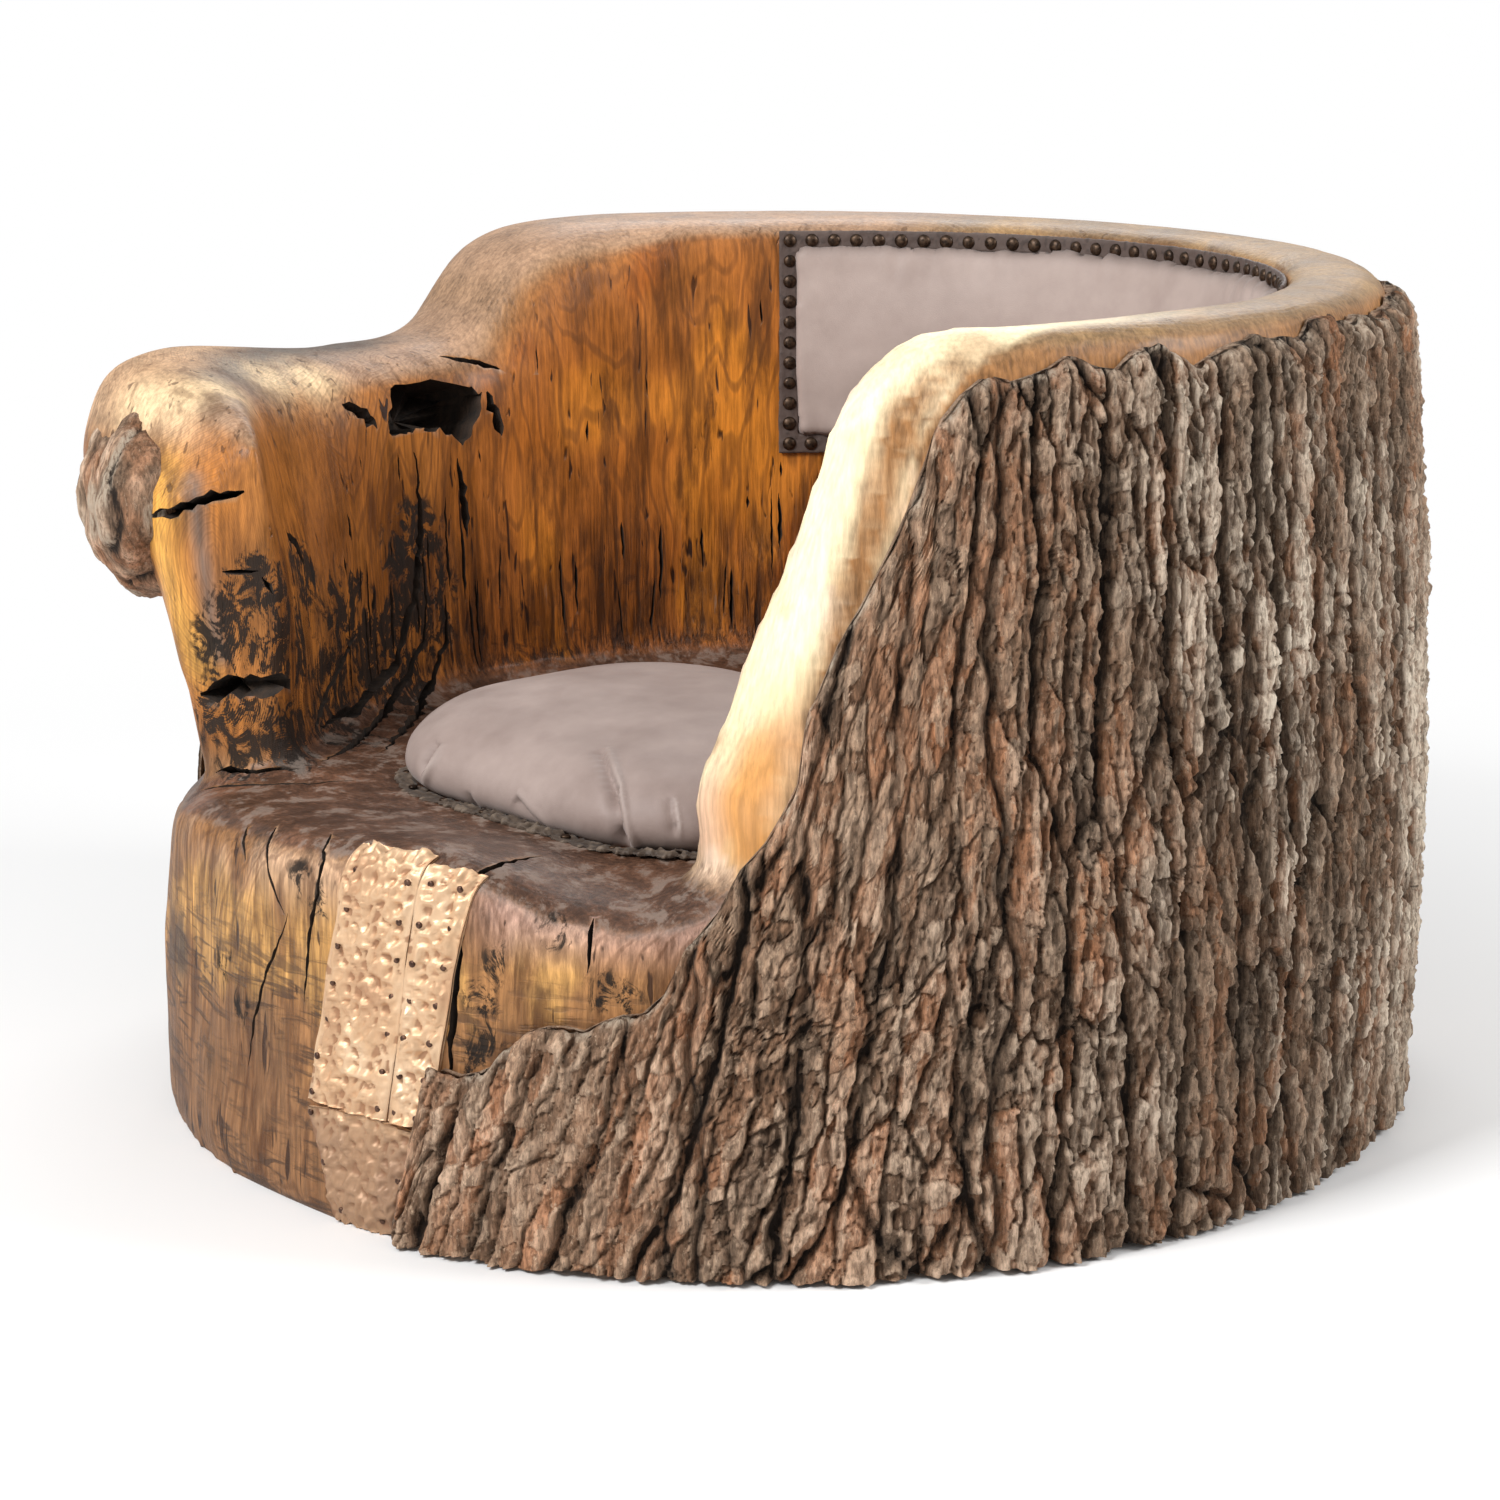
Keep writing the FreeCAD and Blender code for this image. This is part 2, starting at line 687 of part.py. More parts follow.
def border_nail(angle, height):
    """Seat and direction of a dome nail on the border band."""
    half_width, half_depth = hollow_halves(height)
    wall = hollow_point(angle, wall_distance(angle, height), height)
    inward = FreeCAD.Vector((dim.hollow_shift_right.value - wall.x) / half_width ** 2,
                            (-dim.hollow_shift_front.value - wall.y) / half_depth ** 2, 0).normalize()
    return wall + inward * dim.border_thickness.value, inward


middle_low = (dim.pad_low - dim.border_width * 0.5).value
middle_high = (dim.pad_high + dim.border_width * 0.5).value
nail_turn = (math.radians(dim.pad_half_turn.value)
             + dim.border_width.value / 2 / dim.hollow_half_width.value)
row_length = 2 * nail_turn * dim.hollow_half_width.value
row_angles = [nail_turn * (2 * place - 1) for place in spread(row_length, dim.dome_nail_pitch.value)]
column_heights = [middle_low + (middle_high - middle_low) * place
                  for place in spread(middle_high - middle_low, dim.dome_nail_pitch.value)]
border_places = [border_nail(angle, height) for angle in row_angles
                 for height in (middle_low, middle_high)]
border_places += [border_nail(angle, height) for height in column_heights[1:-1]
                  for angle in (-nail_turn, nail_turn)]
back_nails = nail_group("back_nails", nail(dim.dome_nail_radius.value, dim.dome_nail_rise.value),
                        border_places)

# Copper patch: three sheets laid on the front of the log, the upper two lapped onto the seat
doc.recompute()
log_side = max(doc.getObject("log").Shape.Faces, key=lambda face: face.Area).Surface


def log_front(x, z):
    """How far forward (-Y) the log's side lies at a place seen from the front."""
    sight = Part.LineSegment(FreeCAD.Vector(x, -reach.value, z), FreeCAD.Vector(x, 0, z))
    points, _ = sight.intersectCS(log_side)
    return points[0].Y


def copper_section(low, high, foot, top, lapped):
    """An upright section of a sheet from its foot to its top, following the log's side."""
    thickness = dim.copper_thickness.value
    lean = (top - foot) / (high - low)
    inner = []
    for step in range(COPPER_STEPS + 1):
        z = low + (high - low) * step / COPPER_STEPS
        x = foot + lean * (z - low)
        inner.append(FreeCAD.Vector(x, log_front(x, z) - dim.copper_standoff.value, z))
    outward = FreeCAD.Vector(0, -thickness, 0)
    outer = [point + outward for point in inner]
    if lapped:
        rise = FreeCAD.Vector(lean * thickness, 0, thickness)
        inward = FreeCAD.Vector(0, dim.copper_lap.value, 0)
        inner.append(inner[-1] + inward)
        outer += [outer[-1] + rise, inner[-1] + rise]
    corners = inner + outer[::-1]
    return Part.makePolygon(corners + corners[:1])


def copper_sheet(name, low, high, left, right):
    """One sheet between its left and right edges, each given at its foot and top.

    A sheet that reaches the seat is lapped onto it."""
    lapped = high.value >= dim.seat_height.value
    sections = []
    for step in range(COPPER_STEPS + 1):
        across = step / COPPER_STEPS
        foot = left[0].value + (right[0] - left[0]).value * across
        top = left[1].value + (right[1] - left[1]).value * across
        sections.append(copper_section(low.value, high.value, foot, top, lapped))
    return feature(name, Part.makeLoft(sections, True, True))


def copper_nail_places(low, high, left, right):
    """Seats and directions of a row of nails beside each upright edge of a sheet."""
    edge = dim.copper_edge.value
    climb = (high - low).value - 2 * edge
    places = []
    for (foot, top), inward in ((left, edge), (right, -edge)):
        for step in spread(climb, dim.copper_nail_pitch.value):
            x = foot.value + (top - foot).value * step + inward
            z = low.value + edge + climb * step
            front = log_front(x, z) - dim.copper_standoff.value - dim.copper_thickness.value
            places.append((FreeCAD.Vector(x, front, z), FreeCAD.Vector(x, front, 0).normalize()))
    return places


copper_low = dim.copper_break_height
copper_edges = {
    "copper_left": (copper_low, dim.seat_height, (dim.copper_break_left, dim.copper_top_left),
                    (dim.copper_break_seam - dim.copper_seam_gap,
                     dim.copper_top_seam - dim.copper_seam_gap)),
    "copper_right": (copper_low, dim.seat_height, (dim.copper_break_seam, dim.copper_top_seam),
                     (dim.copper_break_right, dim.copper_top_right)),
    "copper_foot": (dim.copper_lift, copper_low - dim.copper_seam_gap,
                    (dim.copper_foot_left, dim.copper_break_left),
                    (dim.copper_foot_right, dim.copper_break_right)),
}
copper_sheets = [copper_sheet(name, *edges) for name, edges in copper_edges.items()]
copper_nail = nail(dim.copper_nail_radius.value, dim.copper_nail_rise.value)
copper_nails = [nail_group(f"{name}_nails", copper_nail, copper_nail_places(*edges))
                for name, edges in copper_edges.items()]

nodes = [trunk, burl, *slabs, seat_filling, seat_cover, seat_edging, seat_tacks,
         back_filling, back_cover, back_border, back_nails, *copper_sheets, *copper_nails]

doc.recompute()
for item in doc.Objects:
    if "Invalid" in item.State or "Error" in item.State:
        raise RuntimeError(f"{item.Name} failed: {item.State}")
for node in nodes:
    if node.Shape.isNull() or not node.Shape.isValid() or not node.Shape.Solids:
        raise RuntimeError(f"{node.Label} has no valid solid")
os.makedirs("parts", exist_ok=True)
for node in nodes:
    node.Shape.exportStep(f"parts/{node.Label}.step")
    print(f"{node.Label}: {len(node.Shape.Solids)} solids, {node.Shape.Volume / 1000:.1f} cm3")
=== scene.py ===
import itertools
import math

import bmesh
import bpy
import numpy as np
from mathutils import Matrix, Vector
from mathutils.bvhtree import BVHTree


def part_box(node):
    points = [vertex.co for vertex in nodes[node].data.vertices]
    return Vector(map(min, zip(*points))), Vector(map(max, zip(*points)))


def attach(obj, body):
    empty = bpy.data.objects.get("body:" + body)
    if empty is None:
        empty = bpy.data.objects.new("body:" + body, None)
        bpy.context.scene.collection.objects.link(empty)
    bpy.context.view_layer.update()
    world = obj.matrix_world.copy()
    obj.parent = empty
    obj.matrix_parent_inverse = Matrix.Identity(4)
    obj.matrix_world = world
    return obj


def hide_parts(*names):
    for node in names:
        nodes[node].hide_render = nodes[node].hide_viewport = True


# Tree trunk chair: the looks, in metres, in the frame of the solids. +Z is up, the sitter faces -Y,
# the swept arm is at +X and the stub arm with its burl at -X. Angles round the trunk are measured
# from the front (-Y) towards +X.

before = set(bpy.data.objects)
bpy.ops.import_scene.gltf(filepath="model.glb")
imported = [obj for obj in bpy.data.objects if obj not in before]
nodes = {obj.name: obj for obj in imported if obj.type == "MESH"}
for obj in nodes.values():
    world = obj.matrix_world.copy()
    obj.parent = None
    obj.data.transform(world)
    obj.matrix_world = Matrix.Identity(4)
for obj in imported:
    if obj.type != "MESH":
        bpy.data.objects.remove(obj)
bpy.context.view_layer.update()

# The photograph's camera, fitted to the trunk's outline
PHOTO_SIDE = 1500
CAMERA_AZIMUTH = math.radians(48)
CAMERA_DISTANCE = 3.5497
CAMERA_HEIGHT = 1.1531
CAMERA_PITCH = 0.2325
CAMERA_YAW = -0.0081
FOCAL_PIXELS = 3764.7
SENSOR_WIDTH = 36.0

# Levels and places taken over from the solids
SEAT_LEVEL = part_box("seat_edging")[0].z
RIM_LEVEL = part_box("trunk")[1].z
HOLLOW_CENTRE = (0.045, -0.035)
HOLLOW_HALVES = (0.43, 0.485)


# Arithmetic on arrays of points
def ramp(value, low, high):
    """A smooth step from 0 at low to 1 at high."""
    share = np.clip((value - low) / (high - low), 0, 1)
    return share * share * (3 - 2 * share)


def bump(distance, width):
    """A smooth hump: 1 at no distance, falling off over the width."""
    return np.exp(-(distance / width) ** 2)


HASH_PRIMES = (374761393, 668265263, 3266489917)
HASH_MIX = 2246822519
WORD = 0xFFFFFFFF


def lattice_number(seed, *places):
    """A repeatable number from 0 to 1 for each whole-number place."""
    total = np.zeros(places[0].shape, np.uint32) + np.uint32(seed * HASH_MIX & WORD)
    for prime, place in zip(HASH_PRIMES, places):
        total ^= place.astype(np.int64).astype(np.uint32) * np.uint32(prime)
        total = (total ^ (total >> np.uint32(15))) * np.uint32(HASH_MIX)
        total ^= total >> np.uint32(13)
    return total / float(WORD)


def noise(seed, *places):
    """Smooth noise from -1 to 1 over two or three arrays of coordinates."""
    floors = [np.floor(place) for place in places]
    shares = [place - floor for place, floor in zip(places, floors)]
    shares = [share ** 3 * (share * (6 * share - 15) + 10) for share in shares]
    total = np.zeros(np.shape(places[0]))
    for corner in itertools.product((0, 1), repeat=len(places)):
        weight = np.ones(total.shape)
        for step, share in zip(corner, shares):
            weight = weight * (share if step else 1 - share)
        lattice = [floor + step for floor, step in zip(floors, corner)]
        total += weight * lattice_number(seed, *lattice)
    return total * 2 - 1


def layered_noise(seed, octaves, *places):
    """Noise with finer noise added to it, each layer half as strong and twice as fine."""
    total = 0
    for octave in range(octaves):
        scaled = [place * 2 ** octave for place in places]
        total = total + noise(seed + octave, *scaled) * 0.5 ** octave
    return total


def cells(seed, across, along, width, height, jitter=0.9, row_shift=0.0):
    """Cracked cells of about width by height on a surface; every other row is moved over by row_shift.

    Gives the distance to the nearest crack, how upright that crack is, and the cell's number."""
    u, v = across / width, along / height
    column, row = np.floor(u), np.floor(v)
    first, second = (np.full(u.shape, np.inf) for _ in range(2))
    first_u, first_v, second_u, second_v, number = (np.zeros(u.shape) for _ in range(5))
    for step_u, step_v in itertools.product((-1, 0, 1), repeat=2):
        cell_u, cell_v = column + step_u, row + step_v
        centre_u = cell_u + 0.5 + jitter * (lattice_number(seed, cell_u, cell_v) - 0.5)
        centre_u = centre_u + row_shift * np.mod(cell_v, 2)
        centre_v = cell_v + 0.5 + jitter * (lattice_number(seed + 1, cell_u, cell_v) - 0.5)
        square = (centre_u - u) ** 2 + (centre_v - v) ** 2
        nearest = square < first
        runner_up = ~nearest & (square < second)
        second = np.where(nearest, first, np.where(runner_up, square, second))
        second_u = np.where(nearest, first_u, np.where(runner_up, centre_u, second_u))
        second_v = np.where(nearest, first_v, np.where(runner_up, centre_v, second_v))
        first = np.where(nearest, square, first)
        first_u = np.where(nearest, centre_u, first_u)
        first_v = np.where(nearest, centre_v, first_v)
        number = np.where(nearest, lattice_number(seed + 2, cell_u, cell_v), number)
    gap_u, gap_v = second_u - first_u, second_v - first_v
    gap = np.maximum(np.hypot(gap_u, gap_v), 1e-6)
    slope_u, slope_v = gap_u / gap / width, gap_v / gap / height
    slope = np.hypot(slope_u, slope_v)
    return (second - first) / (2 * gap) / slope, np.abs(slope_u) / slope, number


def round_angle(points):
    """Angle round the trunk from the front, and distance from its axis."""
    return np.arctan2(points[:, 0], -points[:, 1]), np.hypot(points[:, 0], points[:, 1])


# Meshes
def vectors_of(mesh, field):
    """One vector for each vertex of a mesh."""
    flat = np.empty(len(mesh.vertices) * 3)
    mesh.vertices.foreach_get(field, flat)
    return flat.reshape(-1, 3)


def points_of(mesh):
    return vectors_of(mesh, "co")


def normals_of(mesh):
    return vectors_of(mesh, "normal")


def move_points(mesh, points):
    """Put a mesh's vertices at new places."""
    mesh.vertices.foreach_set("co", np.asarray(points, float).ravel())
    mesh.update()


def paint(mesh, **layers):
    """Keep a number, or a colour, for each vertex in each layer, for the materials to read."""
    for name, values in layers.items():
        values = np.asarray(values)
        kind, field = "FLOAT", "value"
        if values.ndim == 2:
            kind, field = "FLOAT_COLOR", "color"
            values = np.concatenate([values, np.ones((len(values), 1))], axis=1)
        layer = mesh.attributes.new(name, kind, "POINT")
        layer.data.foreach_set(field, values.astype(np.float32).ravel())


def add_object(name, data):
    """A new object in the scene."""
    item = bpy.data.objects.new(name, data)
    bpy.context.scene.collection.objects.link(item)
    return item


def set_materials(mesh, *materials):
    """Give a mesh these materials and no others."""
    mesh.materials.clear()
    for material in materials:
        mesh.materials.append(material)


def new_piece(name, mesh, material, slot, *replaced):
    """An object that rides on the chair, stands for solids and has a material."""
    piece = add_object(name, mesh)
    if material.name not in mesh.materials:
        set_materials(mesh, material)
    mesh.polygons.foreach_set("use_smooth", np.ones(len(mesh.polygons), bool))
    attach(piece, "root")
    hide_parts(*replaced)
    return piece


def mesh_tree(*meshes):
    """A tree for finding where a line meets meshes."""
    vertices, faces = [], []
    for mesh in meshes:
        mesh.calc_loop_triangles()
        corners = np.empty(len(mesh.loop_triangles) * 3, int)
        mesh.loop_triangles.foreach_get("vertices", corners)
        faces.extend((corners.reshape(-1, 3) + len(vertices)).tolist())
        vertices.extend(points_of(mesh).tolist())
    return BVHTree.FromPolygons(vertices, faces)


def solid_tree(name):
    """A tree for finding where a line meets the named solid."""
    return mesh_tree(nodes[name].data)


def struck(tree, start, away, *reach):
    """Where a line first meets a tree's surface, or nothing."""
    return tree.ray_cast(start, away, *reach)[0]


def applied(piece):
    """The piece's mesh with its modifiers applied and removed."""
    graph = bpy.context.evaluated_depsgraph_get()
    mesh = bpy.data.meshes.new_from_object(piece.evaluated_get(graph))
    piece.modifiers.clear()
    old = piece.data
    piece.data = mesh
    bpy.data.meshes.remove(old)
    return mesh


def remeshed(name, node, voxel):
    """A copy of a solid with evenly spread vertices."""
    copy = add_object(name, nodes[node].data.copy())
    modifier = copy.modifiers.new("even", "REMESH")
    modifier.mode = "VOXEL"
    modifier.voxel_size = voxel
    mesh = applied(copy)
    bpy.data.objects.remove(copy)
    return mesh


def smoothed(mesh, points, rounds, weight=0.5):
    """Move points towards the middle of their neighbours, which rounds edges off."""
    edges = np.empty(len(mesh.edges) * 2, int)
    mesh.edges.foreach_get("vertices", edges)
    one, other = edges.reshape(-1, 2).T
    count = len(points)
    valence = np.bincount(one, minlength=count) + np.bincount(other, minlength=count)
    weights = np.broadcast_to(weight, count)
    for _ in range(rounds):
        moved = points.copy()
        for axis in range(3):
            values = points[:, axis]
            total = (np.bincount(one, values[other], count) + np.bincount(other, values[one], count))
            moved[:, axis] += weights * (total / valence - values)
        points = moved
    return points


def softened(name, node, voxel, rounds, reshape=None):
    """A copy of a solid with rounded edges, reshaped if asked: its mesh, points and facings."""
    mesh = remeshed(f"{name}_copy", node, voxel)
    points = smoothed(mesh, points_of(mesh), rounds)
    if reshape is not None:
        points = reshape(points)
    move_points(mesh, points)
    return mesh, points, normals_of(mesh)


# Shader nodes
class Value:
    """What a shader node gives, to be reckoned with or fed to other nodes."""

    def __init__(self, shader, socket):
        self.shader = shader
        self.socket = socket

    def __add__(self, other):
        return self.shader.math("ADD", self, other)

    def __sub__(self, other):
        return self.shader.math("SUBTRACT", self, other)

    def __rsub__(self, other):
        return self.shader.math("SUBTRACT", other, self)

    def __mul__(self, other):
        return self.shader.math("MULTIPLY", self, other)

    def span(self, low, high, to_low=0.0, to_high=1.0):
        """Carry the value from one range over to another, with a smooth start and end."""
        ends = {"Value": self, "From Min": low, "From Max": high, "To Min": to_low, "To Max": to_high}
        return self.shader.value("ShaderNodeMapRange", "Result", ends, interpolation_type="SMOOTHSTEP")


class Shader:
    """The node tree of a new material or world, with short ways to add nodes to it."""

    def __init__(self, name, kind=bpy.data.materials, surface="Principled BSDF"):
        self.owner = kind.new(name)
        self.owner.use_nodes = True
        self.tree = self.owner.node_tree
        self.surface = self.tree.nodes[surface]

    def node(self, kind, inputs, **settings):
        """A new node with its settings made and its inputs fed."""
        item = self.tree.nodes.new(kind)
        for key, value in settings.items():
            setattr(item, key, value)
        for socket, value in inputs.items():
            self.feed(item.inputs[socket], value)
        return item

    def value(self, kind, output, inputs, **settings):
        """What a new node gives at one of its outputs."""
        return Value(self, self.node(kind, inputs, **settings).outputs[output])

    def feed(self, socket, value):
        """Set a socket to a number or colour, or link it to a value."""
        if isinstance(value, Value):
            self.tree.links.new(value.socket, socket)
        else:
            socket.default_value = value

    def set(self, **inputs):
        """Set or link the surface's own sockets."""
        for name, value in inputs.items():
            self.feed(self.surface.inputs[name.replace("_", " ")], value)

    def attribute(self, name, output="Fac"):
        """The numbers, or with output Color the colours, painted on the vertices."""
        return self.value("ShaderNodeAttribute", output, {}, attribute_name=name)

    def ray(self, kind):
        """1 for light rays of a kind, else 0."""
        return self.value("ShaderNodeLightPath", kind, {})

    def place(self, stretch=(1, 1, 1), offset=(0, 0, 0)):
        """Object coordinates, stretched and moved."""
        source = self.value("ShaderNodeTexCoord", "Object", {})
        return self.value("ShaderNodeMapping", "Vector",
                          {"Vector": source, "Scale": stretch, "Location": offset})

    def noise(self, stretch, offset=(0, 0, 0), detail=4.0, roughness=0.55, distortion=0.0):
        return self.value("ShaderNodeTexNoise", "Fac",
                          {"Vector": self.place(stretch, offset), "Scale": 1.0, "Detail": detail,
                           "Roughness": roughness, "Distortion": distortion})

    def pebbles(self, stretch):
        """Small cells, by the distance to their edges."""
        return self.value("ShaderNodeTexVoronoi", "Distance", {"Vector": self.place(stretch), "Scale": 1.0},
                          feature="DISTANCE_TO_EDGE")

    def math(self, operation, one, other=0.0):
        return self.value("ShaderNodeMath", 0, {0: one, 1: other}, operation=operation)

    def grey(self, lightness):
        """A grey of the given lightness, for multiplying colours."""
        return self.value("ShaderNodeCombineColor", "Color",
                          {"Red": lightness, "Green": lightness, "Blue": lightness})

    def mix(self, share, one, other, blend="MIX"):
        item = self.node("ShaderNodeMix", {}, data_type="RGBA", blend_type=blend)
        for name, value in (("Factor", share), ("A", one), ("B", other)):
            self.feed(item.inputs[name], value)
        result = next(out for out in item.outputs if out.name == "Result" and out.type == "RGBA")
        return Value(self, result)

    def shades(self, value, *stops):
        """A colour ramp of (place, colour) stops."""
        item = self.node("ShaderNodeValToRGB", {"Fac": value})
        ramp_points = item.color_ramp.elements
        while len(ramp_points) < len(stops):
            ramp_points.new(1.0)
        for point, (where, colour) in zip(ramp_points, stops):
            point.position = where
            point.color = colour
        return Value(self, item.outputs["Color"])

    def bumps(self, height, strength, distance):
        """Bumps that catch the light."""
        return self.value("ShaderNodeBump", "Normal",
                          {"Height": height, "Strength": strength, "Distance": distance})


def rgb(red, green, blue):
    return (red, green, blue, 1.0)


BLACK = rgb(0.012, 0.009, 0.007)
WHITE = rgb(1, 1, 1)

# What darkens or bleaches the wood, in the order in which it lies on it
WOOD_STAINS = {
    "grain": rgb(0.085, 0.030, 0.009),
    "streaks": rgb(0.085, 0.028, 0.007),
    "flecks": rgb(0.030, 0.010, 0.004),
    "torn": rgb(0.035, 0.014, 0.007),
    "bleached": rgb(0.27, 0.20, 0.145),
    "ripples": rgb(0.065, 0.033, 0.018),
    "char": BLACK,
    "soil": rgb(0.028, 0.015, 0.010),
    "dust": rgb(0.33, 0.26, 0.215),
}
RING_TURNS = 950.0


def wood_material():
    """Oiled wood: growth rings about the pith, streaks, fibres and flecks.

    The vertices carry the tint of each part of the trunk and how glossy, figured, weathered,
    rippled, polished, dusty or charred it is."""
    shader = Shader("wood")
    gloss = shader.attribute("gloss")
    figured = shader.attribute("figured")
    weathered = shader.attribute("weathered")
    dusty = shader.attribute("dust")

    slow = shader.noise((2.6, 2.6, 0.9), detail=3.0, roughness=0.5)
    swirl = shader.noise((10, 10, 2.4), (3, 1, 7), 3.0, 0.5)
    rings = shader.math("SINE", (shader.attribute("rings") + slow * 0.18 + swirl * 0.06) * RING_TURNS)
    fibres = shader.noise((240, 240, 16), detail=5.0, roughness=0.65)
    mottle = shader.noise((18, 18, 9), (5, 2, 0), 6.0, 0.62)
    contrast = shader.attribute("polished").span(0.0, 1.0, 1.0, 0.48)
    lightness = rings * 0.10 + fibres.span(0.3, 0.7, 0.70, 1.30) + mottle.span(0.3, 0.7, -0.30, 0.30)
    lightness = (lightness - 1.0) * contrast + 1.0

    streaks = shader.noise((36, 36, 5.5), (4, 6, 1), 7.0, 0.66, 0.4).span(0.47, 0.66, 0.0, 0.85) * figured
    flecks = shader.noise((95, 95, 17), (1, 4, 2), 2.0, 0.5, 0.6).span(0.64, 0.70) * figured
    tears = shader.noise((150, 150, 6), (7, 0, 3), 5.0, 0.68)
    torn = tears.span(0.44, 0.62) * weathered
    ripples = shader.noise((14, 14, 85), (2, 8, 0), 4.0, 0.6, 1.2).span(0.48, 0.62, 0.0, 0.85)
    ripples = ripples * shader.attribute("rippled")
    embers = shader.noise((46, 46, 30), (2, 2, 9), 8.0, 0.74, 1.0) + rings * 0.025
    charred = (shader.attribute("char") * embers.span(0.37, 0.62)).span(0.22, 0.46, 0.0, 0.95)
    scuffs = shader.noise((38, 38, 38), (8, 1, 4), 8.0, 0.72, 0.3)
    dust = dusty * scuffs.span(0.50, 0.60, 0.0, 0.85)
    shares = {
        "grain": rings.span(0.45, 1.0, 0.0, 0.5) * figured,
        "streaks": streaks,
        "flecks": flecks,
        "torn": torn * 0.85,
        "bleached": tears.span(0.38, 0.28) * weathered * 0.7,
        "ripples": ripples,
        "char": charred,
        "soil": dusty * scuffs.span(0.50, 0.42, 0.0, 0.85),
        "dust": dust,
    }
    colour = shader.mix(1.0, shader.attribute("tint", "Color"), shader.grey(lightness), "MULTIPLY")
    for name, stain in WOOD_STAINS.items():
        colour = shader.mix(shares[name], colour, stain)

    rough = mottle.span(0.25, 0.75, 0.50, 0.70) - gloss * 0.25 + dust * 0.3 + charred * 0.25
    height = (fibres * 0.6 + rings * 0.06) * contrast
    for dip, depth in ((flecks, 0.9), (torn, 1.6), (ripples, 0.9), (streaks, 0.25), (charred, 0.7)):
        height = height - dip * depth
    shader.set(Base_Color=colour, Roughness=rough, Normal=shader.bumps(height, 0.45, 0.004),
               Specular_IOR_Level=0.25, Coat_Weight=gloss * (1.0 - charred) * 0.22, Coat_Roughness=0.22)
    return shader.owner


def crack_material():
    """The inside of an open check: dry and torn, and dark, partly its own colour and partly painted shade."""
    shader = Shader("crack")
    torn = shader.noise((120, 120, 30), roughness=0.6)
    shader.set(Base_Color=shader.shades(torn, (0.3, BLACK), (0.75, rgb(0.05, 0.028, 0.016))),
               Roughness=0.9, Normal=shader.bumps(torn, 0.6, 0.004))
    return shader.owner


BARK_SHADES = ((0.34, rgb(0.105, 0.070, 0.048)), (0.52, rgb(0.165, 0.103, 0.066)),
               (0.66, rgb(0.200, 0.110, 0.065)), (0.84, rgb(0.245, 0.122, 0.066)))
BARK_FLAKE = rgb(0.205, 0.155, 0.115)
BARK_SPECK = rgb(0.030, 0.020, 0.014)
BARK_SCALE = rgb(0.36, 0.285, 0.215)
BARK_LICHEN = rgb(0.54, 0.49, 0.42)
BARK_FRESH = rgb(0.52, 0.42, 0.32)
# Near black in the fissures: partly the bark's dark inside, partly painted shade
BARK_FISSURE_AND_SHADE = rgb(0.020, 0.014, 0.011)
BARK_IN_SHADE = rgb(1.05, 1.0, 0.94)
BARK_IN_SUN = rgb(1.5, 1.36, 1.24)


def bark_material():
    """Furrowed bark: black fissures, partly painted shade, brown and rusty plates with painted shade in their
    furrows and a painted highlight where they stand proud, grey lichen on what stands proud, and painted
    sunlight towards the front.
    """
    shader = Shader("bark")
    relief = shader.attribute("relief")
    flake = shader.attribute("flake")
    grain = shader.noise((230, 230, 45), detail=5.0, roughness=0.65)
    patches = shader.noise((7, 7, 3.5), (2, 0, 5), 5.0, 0.6)
    specks = shader.noise((420, 420, 190), (1, 5, 3), 4.0, 0.7)
    scales = shader.noise((210, 210, 120), (6, 2, 8), 6.0, 0.72)
    growth = shader.noise((5, 5, 3), (9, 3, 1), 6.0, 0.65)
    lichen = (growth.span(0.42, 0.60) * relief.span(0.50, 0.90) * shader.attribute("lichen")
              * grain.span(0.38, 0.6, 0.25, 1.0))
    depth = relief + grain.span(0.3, 0.7, -0.12, 0.12)
    # Painted sunlight: the bark lightened towards the front, and left in shade round the side
    sunned = shader.mix(shader.attribute("warm"), BARK_IN_SHADE, BARK_IN_SUN)

    # What lies on the bark, in order: how much of it, its colour, and how it covers what is below
    layers = (
        (flake.span(0.15, 0.9, 0.0, 0.7), BARK_FLAKE, "MIX"),
        (1.0, shader.grey(grain.span(0.3, 0.72, 0.5, 1.55)), "MULTIPLY"),
        (specks.span(0.56, 0.70, 0.0, 0.7), BARK_SPECK, "MIX"),
        (scales.span(0.55, 0.68, 0.0, 0.75), BARK_SCALE, "MIX"),
        (lichen, BARK_LICHEN, "MIX"),
        # Painted shade in the furrows and painted highlight on the plates that stand proud
        (1.0, shader.grey(relief.span(0.25, 0.95, 0.6, 1.65)), "MULTIPLY"),
        (1.0, sunned, "MULTIPLY"),
        (shader.attribute("fresh") * grain.span(0.35, 0.6), BARK_FRESH, "MIX"),
        # Fissures darkened by depth: partly the bark's dark inside, partly painted shade
        (depth.span(0.04, 0.36, 0.93, 0.0), BARK_FISSURE_AND_SHADE, "MIX"),
    )
    colour = shader.shades(shader.attribute("plate") * 0.45 + patches * 0.75, *BARK_SHADES)
    for share, stain, cover in layers:
        colour = shader.mix(share, colour, stain, cover)
    height = grain + flake * 0.5 + specks * 0.7 + scales * 0.8
    shader.set(Base_Color=colour, Roughness=0.88, Normal=shader.bumps(height, 0.85, 0.006),
               Specular_IOR_Level=0.25)
    return shader.owner


RUBBED_LEATHER = rgb(0.62, 0.53, 0.48)


